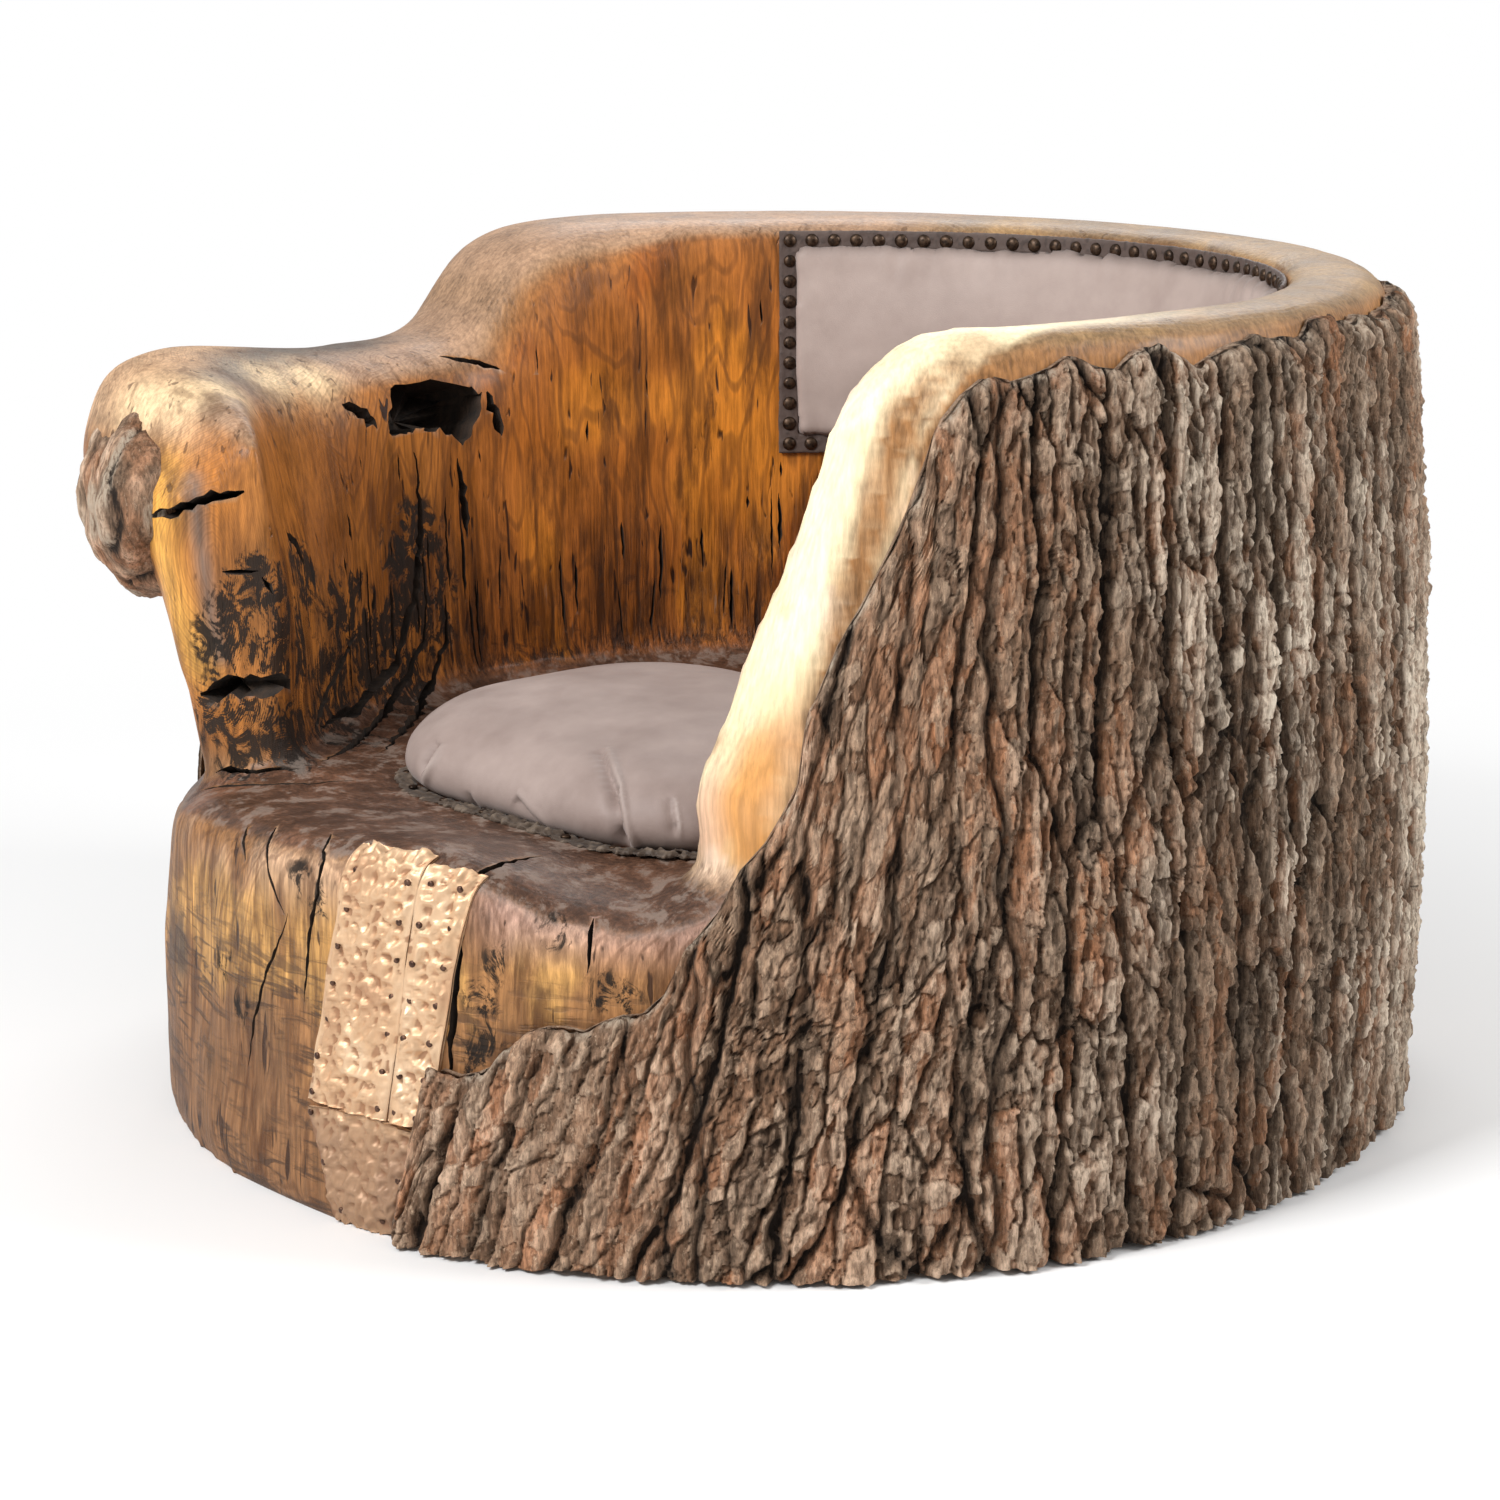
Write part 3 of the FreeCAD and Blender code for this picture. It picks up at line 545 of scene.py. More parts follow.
def leather_material(name, dark, light, crease_shade_and_wear_colour):
    """Soft matte hide with a fine grain and cloudy wear; its crease layer is painted shade on the cushion and
    the pad, and wear on the bands.
    """
    shader = Shader(name)
    clouds = shader.noise((9, 9, 9), detail=5.0, roughness=0.6)
    blotches = shader.noise((28, 28, 28), (3, 1, 2))
    colour = shader.shades(clouds * 0.65 + blotches * 0.35, (0.32, dark), (0.68, light))
    # Crease layer: painted shade in the cushion's pleats and along the pad's edges, wear on the bands
    colour = shader.mix(shader.attribute("crease"), colour, crease_shade_and_wear_colour)
    colour = shader.mix(shader.attribute("rubbed") * 0.6, colour, RUBBED_LEATHER)
    height = shader.pebbles((700, 700, 700)).span(0.0, 0.25) + blotches * 0.3
    shader.set(Base_Color=colour, Roughness=clouds.span(0.3, 0.7, 0.52, 0.66),
               Normal=shader.bumps(height, 0.16, 0.0012), Specular_IOR_Level=0.4,
               Sheen_Weight=0.12, Sheen_Roughness=0.5)
    return shader.owner


COPPER_SHADES = ((0.28, rgb(0.48, 0.27, 0.15)), (0.5, rgb(0.66, 0.43, 0.255)), (0.75, rgb(0.82, 0.61, 0.41)))
COPPER_DENT_SHADE = rgb(0.34, 0.175, 0.092)
COPPER_DIRT = rgb(0.24, 0.125, 0.068)


def copper_material():
    """Hammered copper gone pale and dull, stained towards the floor and along its edges, with painted shade
    in its dents.
    """
    shader = Shader("copper")
    blotches = shader.noise((22, 22, 12), detail=5.0, roughness=0.6)
    fine = shader.noise((140, 140, 140), roughness=0.6)
    dirt = (shader.attribute("stain") + blotches * 0.6).span(0.5, 1.15)
    colour = shader.shades(blotches, *COPPER_SHADES)
    # Painted shade in the deepest hammer dents
    colour = shader.mix(shader.attribute("hollow").span(0.1, 0.8, 0.0, 0.85), colour, COPPER_DENT_SHADE)
    colour = shader.mix(dirt, colour, COPPER_DIRT)
    shader.set(Base_Color=colour, Metallic=dirt.span(0.0, 1.0, 0.45, 0.25),
               Roughness=fine.span(0.3, 0.7, 0.40, 0.60), Normal=shader.bumps(fine, 0.15, 0.0015))
    return shader.owner


def bronze_material(name, dark, light):
    """Antiqued metal, rubbed brighter on its high spots."""
    shader = Shader(name)
    rubbed = shader.noise((260, 260, 260), detail=3.0, roughness=0.6)
    shader.set(Base_Color=shader.shades(rubbed, (0.35, dark), (0.75, light)), Metallic=0.85,
               Roughness=rubbed.span(0.3, 0.7, 0.34, 0.55), Normal=shader.bumps(rubbed, 0.2, 0.0008))
    return shader.owner


WOOD = wood_material()
CRACK = crack_material()
BARK = bark_material()
LEATHER = leather_material("leather", rgb(0.245, 0.180, 0.158), rgb(0.395, 0.308, 0.275),
                           rgb(0.13, 0.095, 0.082))
# The border band: the pad's leather painted dark for the shade it lies in
SHADED_BAND = leather_material("shaded_band_leather", rgb(0.075, 0.050, 0.042), rgb(0.13, 0.092, 0.078),
                        rgb(0.05, 0.035, 0.03))
PAD_LEATHER = leather_material("pad_leather", rgb(0.37, 0.285, 0.252), rgb(0.51, 0.41, 0.368),
                               rgb(0.15, 0.11, 0.095))
RAW_EDGE = leather_material("raw_leather", rgb(0.034, 0.021, 0.014), rgb(0.095, 0.065, 0.044),
                            rgb(0.19, 0.14, 0.10))
COPPER = copper_material()
BRONZE = bronze_material("bronze", rgb(0.030, 0.020, 0.015), rgb(0.13, 0.080, 0.050))
COPPER_HEADS = bronze_material("copper_heads", rgb(0.055, 0.030, 0.022), rgb(0.20, 0.11, 0.075))


# Camera
def camera_axes():
    """Where the camera stands, and the directions to its right, up and ahead."""
    ahead0 = Vector((-math.sin(CAMERA_AZIMUTH), math.cos(CAMERA_AZIMUTH), 0))
    right0 = Vector((math.cos(CAMERA_AZIMUTH), math.sin(CAMERA_AZIMUTH), 0))
    level = math.cos(CAMERA_YAW) * ahead0 + math.sin(CAMERA_YAW) * right0
    right = math.cos(CAMERA_YAW) * right0 - math.sin(CAMERA_YAW) * ahead0
    ahead = math.cos(CAMERA_PITCH) * level - math.sin(CAMERA_PITCH) * Vector((0, 0, 1))
    place = Vector((CAMERA_DISTANCE * math.sin(CAMERA_AZIMUTH),
                    -CAMERA_DISTANCE * math.cos(CAMERA_AZIMUTH), CAMERA_HEIGHT))
    return place, right, right.cross(ahead), ahead


CAMERA_PLACE, CAMERA_RIGHT, CAMERA_UP, CAMERA_AHEAD = camera_axes()


def add_camera():
    data = bpy.data.cameras.new("camera")
    data.sensor_width = SENSOR_WIDTH
    data.lens = FOCAL_PIXELS / PHOTO_SIDE * SENSOR_WIDTH
    camera = add_object("camera", data)
    turn = Matrix((CAMERA_RIGHT, CAMERA_UP, -CAMERA_AHEAD)).transposed()
    camera.matrix_world = Matrix.Translation(CAMERA_PLACE) @ turn.to_4x4()
    bpy.context.scene.camera = camera


def sight_line(pixel):
    """The direction in which the camera sees a pixel of the photograph."""
    across = (pixel[0] - PHOTO_SIDE / 2) / FOCAL_PIXELS
    down = (pixel[1] - PHOTO_SIDE / 2) / FOCAL_PIXELS
    return (CAMERA_AHEAD + across * CAMERA_RIGHT - down * CAMERA_UP).normalized()


def seen(tree, pixel):
    """The place, and the way it faces, of what the camera sees at a pixel."""
    place, normal, _, _ = tree.ray_cast(CAMERA_PLACE, sight_line(pixel))
    return place, normal


def seen_places(tree, pixels):
    """The places that the camera sees at some pixels, without those where it sees nothing."""
    places = [seen(tree, pixel)[0] for pixel in pixels]
    return [place for place in places if place is not None]


# Trunk
TRUNK_VOXEL = 0.0088
TRUNK_ROUNDS = 30
TRUNK_SWELL = 0.0035
SHARP_EDGE = math.radians(50)
# Levels between which the log's foot is held in place
HELD_FOOT = (0.004, 0.07)
# What is worn most, the stub arm's nose and the shoulder: the middle of each and how far the wear reaches
SOFT_SPOTS = (((-0.40, -0.30, 0.66), 0.26), ((-0.42, -0.02, 0.74), 0.24))
SOFT_CORE = 0.10
SOFT_ROUNDS = 90
# How far the seat's front edge stands above its plain level, by degrees from the front
EDGE_ANGLES = (-75, -50, -35, -20, -5, 8, 16, 23, 29, 36, 44)
EDGE_RISES = (-0.030, -0.042, -0.034, -0.008, 0.004, 0.012, 0.020, 0.006, -0.014, -0.020, 0.0)
# The stub arm's nose stands out over its foot and up over its neck
STUB_BULGE = 0.088
STUB_RISE = 0.026
STUB_ANGLE = math.radians(-46)
STUB_SPREAD = math.radians(15)
# The sloping edge of the swept arm is full and round
ARM_SWELL = 0.027
ARM_FACING = np.array((-0.573, -0.733, 0.36))


def worn(points, mesh):
    """The log's points with edges rounded by use, and its nose, arm and seat's edge swollen."""
    level = points[:, 2].copy()
    grounded = ramp(level, *HELD_FOOT)
    points = smoothed(mesh, points, TRUNK_ROUNDS)
    points[:, 2] = level + (points[:, 2] - level) * grounded
    soft = np.zeros(len(points))
    for middle, reach in SOFT_SPOTS:
        distance = np.linalg.norm(points - np.array(middle), axis=1)
        soft = np.maximum(soft, ramp(distance, reach, SOFT_CORE))
    points = smoothed(mesh, points, SOFT_ROUNDS, 0.5 * soft)
    move_points(mesh, points)
    x, y, z = points.T
    angle, radius = round_angle(points)
    arm = ramp(normals_of(mesh) @ ARM_FACING, 0.35, 0.8)
    arm = arm * ramp(x, 0.18, 0.26) * ramp(z, 0.335, 0.40) * ramp(y, -0.15, -0.23)
    edge = np.interp(np.degrees(angle), EDGE_ANGLES, EDGE_RISES, 0, 0)
    edge = edge * ramp(radius, 0.43, 0.57) * ramp(z, 0.12, 0.30) * ramp(z, 0.40, 0.35)
    nose = bump(angle - STUB_ANGLE, STUB_SPREAD) * ramp(radius, 0.38, 0.52)
    bulge = STUB_BULGE * nose * ramp(z, 0.40, 0.67)
    swell = TRUNK_SWELL * layered_noise(31, 3, x * 10, y * 10, z * 6) * grounded
    outward = np.stack([np.sin(angle), -np.cos(angle), np.zeros(len(points))], axis=1)
    points = points + outward * (bulge + swell)[:, None] + ARM_FACING * (ARM_SWELL * arm)[:, None]
    points[:, 2] += edge + STUB_RISE * nose * ramp(z, 0.56, 0.66)
    return points


# Open checks that the photograph shows: pixels along each, half its width and its depth
SEEN_CHECKS = (
    (((150, 517), (176, 511), (204, 499), (244, 490)), 0.0045, 0.05),
    (((200, 693), (231, 688), (290, 678)), 0.0095, 0.07),
    (((216, 771), (256, 771), (298, 770)), 0.0030, 0.05),
    (((415, 452), (418, 491), (421, 534), (415, 595), (397, 663), (360, 706), (320, 727)), 0.0050, 0.02),
    (((427, 595), (424, 641), (406, 681), (381, 718), (348, 748), (323, 761)), 0.0040, 0.018),
    (((446, 595), (446, 641), (433, 681), (409, 724), (384, 751)), 0.0045, 0.018),
    (((458, 458), (464, 504), (467, 534)), 0.0045, 0.02),
    (((357, 629), (345, 657), (326, 696), (314, 727)), 0.0040, 0.015),
    (((375, 589), (372, 614)), 0.0022, 0.01),
    (((286, 531), (296, 543), (305, 568)), 0.0050, 0.016),
    (((342, 404), (360, 412), (378, 427)), 0.0060, 0.02),
    (((485, 393), (495, 412), (501, 436)), 0.0060, 0.025),
    (((222, 571), (259, 571)), 0.0030, 0.015),
    (((262, 577), (271, 595)), 0.0042, 0.012),
    (((172, 809), (201, 791), (259, 785), (310, 784), (354, 780)), 0.0026, 0.03),
    (((248, 827), (246, 860)), 0.0018, 0.02),
    (((277, 827), (275, 893), (284, 914)), 0.0018, 0.02),
    (((332, 834), (324, 860), (318, 893), (308, 944), (304, 1002)), 0.0024, 0.03),
    (((288, 914), (266, 973), (255, 1016), (248, 1067)), 0.0018, 0.02),
    (((543, 856), (477, 878), (466, 900), (459, 944), (452, 1031), (448, 1103)), 0.0032, 0.04),
    (((595, 918), (588, 973)), 0.0018, 0.015),
    (((440, 357), (470, 361), (500, 368)), 0.0030, 0.02),
)
CHECK_STEP = 0.008
CHECK_WIDTHS = (0.65, 1.3)
CHECK_SWAY = 0.5
CHECK_SEED = 7
# The share of a check's width and depth that its ends keep, and how fast it grows from there
WIDTH_TAPER = (0.2, 4)
DEPTH_TAPER = (0.35, 3)
# How far the cutting shapes stand out of the wood
CUT_LIFT = 0.006
# The broken hole beside the stub arm, round its ragged edge
NOTCH = ((394, 384), (430, 380), (470, 384), (482, 392), (478, 415), (470, 436), (462, 446), (452, 434),
         (440, 430), (428, 432), (420, 428), (408, 431), (396, 437), (388, 432), (390, 405))
NOTCH_JITTER = 0.0020
# Depth, spread and roughness of the hole from its mouth to its bottom
NOTCH_RINGS = ((-0.03, 1.0, 0.0), (0.025, 1.0, 0.3), (0.060, 0.82, 0.35))
# Short checks in the wall of the hollow, long ones low down and short ones above
WALL_CHECKS = 130
WALL_TURN = 2.2
LOW_SHARE = 0.6
LOW_LEVELS, LOW_LENGTHS = (0.34, 0.44), (0.04, 0.10)
HIGH_LEVELS, HIGH_LENGTHS = (0.42, 0.70), (0.012, 0.035)
WALL_LEAN = 0.10
WALL_WIDTHS = (0.0008, 0.0020)
WALL_DEPTHS = (0.006, 0.014)
WALL_REACH = 0.62
BELOW_RIM = 0.05


def tapered(from_end, least, growth):
    """The share of a check's full size at a place, by how far it is from the nearer end."""
    return min(1.0, least + growth * from_end)


def check_wedge(tree, places, half_width, depth, generator):
    """A wedge that cuts an open check along places on a surface: its points and faces."""
    path = []
    for start, end in zip(places, places[1:]):
        count = max(1, round((end - start).length / CHECK_STEP))
        path += [start.lerp(end, step / count) for step in range(count)]
    path.append(places[-1])
    last = len(path) - 1
    corners = []
    for index, place in enumerate(path):
        near, normal, _, _ = tree.find_nearest(place)
        ahead = path[min(index + 1, last)] - path[max(index - 1, 0)]
        side = ahead.cross(normal).normalized()
        from_end = min(index, last - index) / max(1, last)
        width = half_width * tapered(from_end, *WIDTH_TAPER) * generator.uniform(*CHECK_WIDTHS)
        middle = near + side * generator.uniform(-CHECK_SWAY, CHECK_SWAY) * half_width
        spread = width * (1 + CUT_LIFT / depth)
        corners += [middle + normal * CUT_LIFT + side * spread, middle + normal * CUT_LIFT - side * spread,
                    middle - normal * depth * tapered(from_end, *DEPTH_TAPER)]
    end = len(corners) - 3
    faces = [(0, 1, 2)]
    for first in range(0, end, 3):
        for one, other in ((0, 1), (1, 2), (2, 0)):
            faces.append((first + one, first + 3 + one, first + 3 + other, first + other))
    faces.append((end + 2, end + 1, end))
    return corners, faces


def notch_block(tree, generator):
    """The block that cuts the broken hole, splintered inside: its points and faces."""
    hits = [seen(tree, pixel) for pixel in NOTCH]
    inward = -sum((normal for _, normal in hits), Vector()).normalized()
    outline = []
    for index, (place, _) in enumerate(hits):
        following = hits[(index + 1) % len(hits)][0]
        for share in (0, 1 / 3, 2 / 3):
            outline.append(place.lerp(following, share) + Vector(generator.normal(0, NOTCH_JITTER, 3)))
    middle = sum(outline, Vector()) / len(outline)
    corners = []
    for depth, spread, roughness in NOTCH_RINGS:
        for place in outline:
            sunk = depth * (1 + roughness * generator.uniform(-1, 1))
            corners.append(middle + (place - middle) * spread + inward * sunk)
    count = len(outline)
    bottom = len(corners) - count
    faces = [tuple(range(count))]
    for index in range(count):
        following = (index + 1) % count
        for first in range(0, bottom, count):
            faces.append((first + index, first + count + index, first + count + following, first + following))
        faces.append((bottom + index, len(corners), bottom + following))
    return corners + [middle + inward * NOTCH_RINGS[-1][0]], faces


def wall_checks(tree, generator):
    """The checks in the wall of the hollow: places along each, half its width and its depth."""
    checks = []
    for _ in range(WALL_CHECKS):
        turn = generator.uniform(-WALL_TURN, WALL_TURN)
        low = generator.random() < LOW_SHARE
        level = generator.uniform(*(LOW_LEVELS if low else HIGH_LEVELS))
        length = generator.uniform(*(LOW_LENGTHS if low else HIGH_LENGTHS))
        lean = generator.normal(0, WALL_LEAN)
        places = []
        for share in (0, 0.5, 1):
            leaning = turn + lean * length * share
            away = Vector((math.sin(leaning), math.cos(leaning), 0))
            hit = struck(tree, Vector((*HOLLOW_CENTRE, level + length * share)), away)
            if hit is not None and hit.xy.length < WALL_REACH:
                places.append(hit)
        if len(places) == 3 and places[-1].z < RIM_LEVEL - BELOW_RIM:
            checks.append((places, generator.uniform(*WALL_WIDTHS), generator.uniform(*WALL_DEPTHS)))
    return checks


def check_cutter(tree):
    """One object with every wedge and the notch, to be taken from the trunk."""
    generator = np.random.default_rng(CHECK_SEED)
    shapes = [notch_block(tree, generator)]
    for pixels, half_width, depth in SEEN_CHECKS:
        shapes.append(check_wedge(tree, seen_places(tree, pixels), half_width, depth, generator))
    for places, half_width, depth in wall_checks(tree, generator):
        shapes.append(check_wedge(tree, places, half_width, depth, generator))
    vertices, faces = [], []
    for corners, sides in shapes:
        offset = len(vertices)
        vertices += [tuple(corner) for corner in corners]
        faces += [tuple(offset + index for index in side) for side in sides]
    mesh = bpy.data.meshes.new("checks")
    mesh.from_pydata(vertices, [], faces)
    shape = bmesh.new()
    shape.from_mesh(mesh)
    bmesh.ops.recalc_face_normals(shape, faces=shape.faces)
    shape.to_mesh(mesh)
    shape.free()
    set_materials(mesh, WOOD, CRACK)
    mesh.polygons.foreach_set("material_index", np.ones(len(mesh.polygons), int))
    return add_object("checks", mesh)


def checked(mesh, tree):
    """The trunk's mesh with its checks and the broken hole cut into it."""
    cutter = check_cutter(tree)
    carrier = add_object("carrier", mesh)
    modifier = carrier.modifiers.new("checks", "BOOLEAN")
    modifier.operation = "DIFFERENCE"
    modifier.solver = "EXACT"
    modifier.use_self = True
    modifier.material_mode = "INDEX"
    modifier.object = cutter
    cut_mesh = applied(carrier)
    bpy.data.objects.remove(carrier)
    bpy.data.objects.remove(cutter)
    return cut_mesh


# Stains, painted shade and a painted highlight on the stub arm and the front, by the pixels where they lie,
# and how far each spreads
CHARRED_PIXELS = ((232, 640), (250, 610), (300, 640), (262, 590), (330, 690), (375, 640), (225, 715),
                  (196, 742), (420, 600), (300, 575), (270, 655), (345, 610), (395, 690), (290, 740),
                  (250, 745), (410, 540), (350, 740))
CHAR_SPREAD = 0.042
STREAKED_PIXELS = ((480, 1000), (490, 1040), (500, 965), (606, 992), (622, 1000), (470, 1062), (560, 930),
                   (300, 880), (322, 900), (240, 1010), (225, 960))
STREAK_SPREAD = 0.026
# Painted shade: a darker tint where the stub arm lies in shadow
SHADED_PIXELS = ((350, 470), (330, 540), (380, 510), (390, 580), (430, 560))
SHADE_SPREAD = 0.055
# Painted highlight: yellow on the rounded end of the stub arm where it faces the light
YELLOW_HIGHLIGHT_PIXELS = ((160, 470), (158, 540), (168, 585), (180, 625), (195, 660))
YELLOW_HIGHLIGHT_SPREAD = 0.024
GREY_PIXELS = ((192, 480), (198, 530), (205, 575), (212, 620), (220, 655))
GREY_SPREAD = 0.011
CREAM_PIXELS = ((140, 405), (180, 395), (220, 388), (270, 380), (310, 378))
CREAM_SPREAD = 0.030
TRACE_STEPS = 6
# The knot in the stub arm's end, round which the grain runs
KNOT_PIXEL = (250, 560)
KNOT_REACH = (0.24, 0.15)

# Colours of the wood before its grain, painted shade and painted highlights among them
SAPWOOD = (0.33, 0.155, 0.055)
TINTS = {
    "heartwood": (0.41, 0.118, 0.010),
    "low heartwood": (0.34, 0.105, 0.018),
    "bright heartwood": (0.60, 0.205, 0.020),
    "dark heartwood": (0.30, 0.078, 0.008),
    "front": (0.34, 0.160, 0.058),
    "low front": (0.25, 0.120, 0.050),
    "dirty front": (0.12, 0.075, 0.042),
    "far front": (0.20, 0.140, 0.098),
    "yellow front": (0.55, 0.29, 0.09),
    "rolled edge": (0.58, 0.36, 0.22),
    "pink rolled edge": (0.54, 0.33, 0.26),
    "ledge": (0.110, 0.052, 0.030),
    "red ledge": (0.19, 0.085, 0.046),
    "rim": (0.29, 0.185, 0.098),
    "yellow rim": (0.38, 0.235, 0.110),
    "shoulder": (0.43, 0.265, 0.165),
    "stub arm's top": (0.128, 0.100, 0.078),
    # The swept arm's edge where it faces the light: pale sanded wood, lightened further as a painted
    # highlight
    "arm's pale edge with painted highlight": (0.94, 0.78, 0.50),
    "pink on the arm": (0.74, 0.48, 0.32),
    "orange on the arm": (0.60, 0.28, 0.08),
    "brown on the arm": (0.62, 0.36, 0.20),
    "pale on the arm": (0.86, 0.66, 0.52),
    "stub arm": (0.38, 0.135, 0.022),
    # Painted shade on the stub arm
    "painted shade on the stub arm": (0.24, 0.075, 0.010),
    "nose": (0.54, 0.34, 0.20),
    # Painted highlight on the stub arm's nose
    "yellow painted highlight on the nose": (0.62, 0.31, 0.065),
    "grey on the nose": (0.13, 0.10, 0.085),
    "cream on the nose": (0.80, 0.58, 0.34),
}


def traced(pixels):
    """A line of pixels through the given ones."""
    line = []
    for start, end in zip(pixels, pixels[1:]):
        for share in (step / TRACE_STEPS for step in range(TRACE_STEPS)):
            line.append((start[0] + (end[0] - start[0]) * share, start[1] + (end[1] - start[1]) * share))
    return line + [pixels[-1]]


def blend(base, colour, share):
    """Colours moved towards another by a share."""
    return base + (np.asarray(colour) - base) * np.clip(share, 0, 1)[:, None]


def paint_trunk(mesh, tree):
    """Tint, with its painted shade and painted highlights, gloss, flecks, weathering and char of each place
    on the trunk.
    """
    points, normals = points_of(mesh), normals_of(mesh)
    x, y, z = points.T
    angle, radius = round_angle(points)
    degrees = np.degrees(angle)

    def near(pixels, spread):
        """How near each point is to what the camera sees at some pixels, from 0 to 1."""
        nearest = np.zeros(len(points))
        for place in seen_places(tree, pixels):
            distance = np.linalg.norm(points - np.array(place), axis=1)
            nearest = np.maximum(nearest, bump(distance, spread))
        return nearest

    # Where on the trunk each point is, from 0 to 1
    oval = np.hypot((x - HOLLOW_CENTRE[0]) / HOLLOW_HALVES[0], (y - HOLLOW_CENTRE[1]) / HOLLOW_HALVES[1])
    upward = ramp(normals[:, 2], 0.35, 0.8)
    inside = ramp(oval, 1.06, 0.98) * ramp(z, SEAT_LEVEL, SEAT_LEVEL + 0.02)
    ledge = upward * ramp(z, 0.46, 0.40)
    rim = ramp(z, 0.55, 0.66) * upward
    left = ramp(x, -0.16, -0.26)
    stub = left * ramp(y, -0.05, -0.15) * ramp(z, 0.325, 0.355)
    arm_edge = ramp(x, 0.22, 0.34) * ramp(y, 0.08, -0.24) * ramp(radius, 0.40, 0.44) * ramp(z, 0.32, 0.36)
    arm_edge = arm_edge * ramp(normals @ ARM_FACING, 0.20, 0.36)
    front = ramp(radius, 0.5, 0.55) * ramp(z, 0.36, 0.33) * (1 - ledge)
    rolled = front * ramp(z, 0.25, 0.31) * ramp(degrees, -44, -34)
    dirty = front * bump(z - 0.17, 0.07) * ramp(degrees, 2, -6)
    knot_distance = np.linalg.norm(points - np.array(seen(tree, KNOT_PIXEL)[0]), axis=1)
    knot = left * ramp(knot_distance, *KNOT_REACH)
    low_corner, high_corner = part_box("seat_edging")
    middle, halves = (low_corner + high_corner) / 2, (high_corner - low_corner) / 2
    from_cushion = np.maximum(np.hypot((x - middle.x) / halves.x, (y - middle.y) / halves.y) - 0.9, 0)

    wander = layered_noise(5, 3, x * 9, y * 9, z * 5)
    patches = layered_noise(9, 4, x * 14, y * 14, z * 9)
    blotches = layered_noise(15, 2, x * 22, y * 22, z * 15)
    low_wall = inside * ramp(z + 0.04 * wander, 0.56, 0.38)
    shares = {
        "heartwood": inside,
        "low heartwood": inside * ramp(z + 0.05 * wander, 0.56, 0.40),
        "bright heartwood": inside * ramp(wander, 0.15, 0.8),
        "dark heartwood": inside * ramp(patches, -0.15, -0.75),
        "front": front,
        "low front": front * ramp(z + 0.07 * patches, 0.24, 0.08),
        "dirty front": dirty * ramp(wander, -0.45, 0.25),
        "far front": front * ramp(degrees + 9 * patches + 6 * wander, -24, -48),
        "yellow front": front * ramp(patches, 0.15, 0.55) * ramp(z, 0.10, 0.2),
        "rolled edge": rolled * ramp(patches, -0.3, 0.5),
        "pink rolled edge": rolled * ramp(degrees, 18, 26),
        "ledge": ledge,
        "red ledge": ledge * ramp(wander, 0.1, 0.7),
        "rim": rim,
        "yellow rim": rim * ramp(wander, 0.1, 0.6),
        "shoulder": left * rim,
        "stub arm's top": stub * upward * ramp(oval + 0.05 * wander, 1.06, 1.20),
        # Pale sanded wood and a painted highlight where the arm's edge faces the light
        "arm's pale edge with painted highlight": arm_edge,
        "pink on the arm": arm_edge * ramp(patches, 0.35, 0.75),
        "orange on the arm": arm_edge * ramp(radius + 0.01 * wander, 0.535, 0.565) * ramp(z, 0.54, 0.42),
        "brown on the arm": 0.6 * arm_edge * ramp(blotches, 0.30, 0.75),
        "pale on the arm": 0.7 * arm_edge * ramp(blotches, -0.35, -0.7),
        "stub arm": stub * (1 - upward),
        # Painted shade on the stub arm, where it lies in shadow
        "painted shade on the stub arm": 0.8 * near(SHADED_PIXELS, SHADE_SPREAD),
        "nose": stub * ramp(z, 0.60, 0.64) * ramp(radius, 0.52, 0.58),
        # Painted highlight on the stub arm's nose
        "yellow painted highlight on the nose": near(traced(YELLOW_HIGHLIGHT_PIXELS), YELLOW_HIGHLIGHT_SPREAD),
        "grey on the nose": 0.85 * near(traced(GREY_PIXELS), GREY_SPREAD),
        "cream on the nose": near(CREAM_PIXELS, CREAM_SPREAD),
    }
    tint = np.tile(np.array(SAPWOOD), (len(points), 1))
    for name, colour in TINTS.items():
        tint = blend(tint, colour, shares[name])

    figured = np.clip(inside + 0.75 * front + 0.5 * stub + 0.3 * rim + 0.12, 0, 1)
    charred = near(CHARRED_PIXELS, CHAR_SPREAD) + 0.62 * near(STREAKED_PIXELS, STREAK_SPREAD)
    paint(mesh, tint=tint,
          rings=radius * (1 - knot) + knot_distance * knot,
          figured=figured * (1 - 0.7 * ledge) * (1 - 0.85 * arm_edge) * (1 - 0.4 * rim),
          gloss=np.clip(0.5 + 0.05 * ledge + 0.1 * rim - 0.3 * front - 0.4 * stub * upward, 0, 1),
          polished=np.clip(arm_edge + 0.5 * rim, 0, 1),
          weathered=np.clip(low_wall + 0.25 * front, 0, 1) * (1 - ledge),
          rippled=front * ramp(z, 0.29, 0.17) * ramp(patches, -0.7, 0.1),
          dust=ledge * (0.55 + 0.45 * bump(from_cushion, 0.18)),
          char=np.clip(charred + 0.35 * low_wall * ramp(x, -0.1, -0.25), 0, 1))


def dressed_trunk():
    """The hollowed log with its edges worn round and its checks open; gives a tree of its surface."""
    mesh = remeshed("trunk_copy", "trunk", TRUNK_VOXEL)
    move_points(mesh, worn(points_of(mesh), mesh))
    set_materials(mesh, WOOD, CRACK)
    tree = mesh_tree(mesh)
    mesh = checked(mesh, tree)
    paint_trunk(mesh, tree)
    new_piece("trunk_wood", mesh, WOOD, "heartwood", "trunk")
    mesh.set_sharp_from_angle(angle=SHARP_EDGE)
    return tree


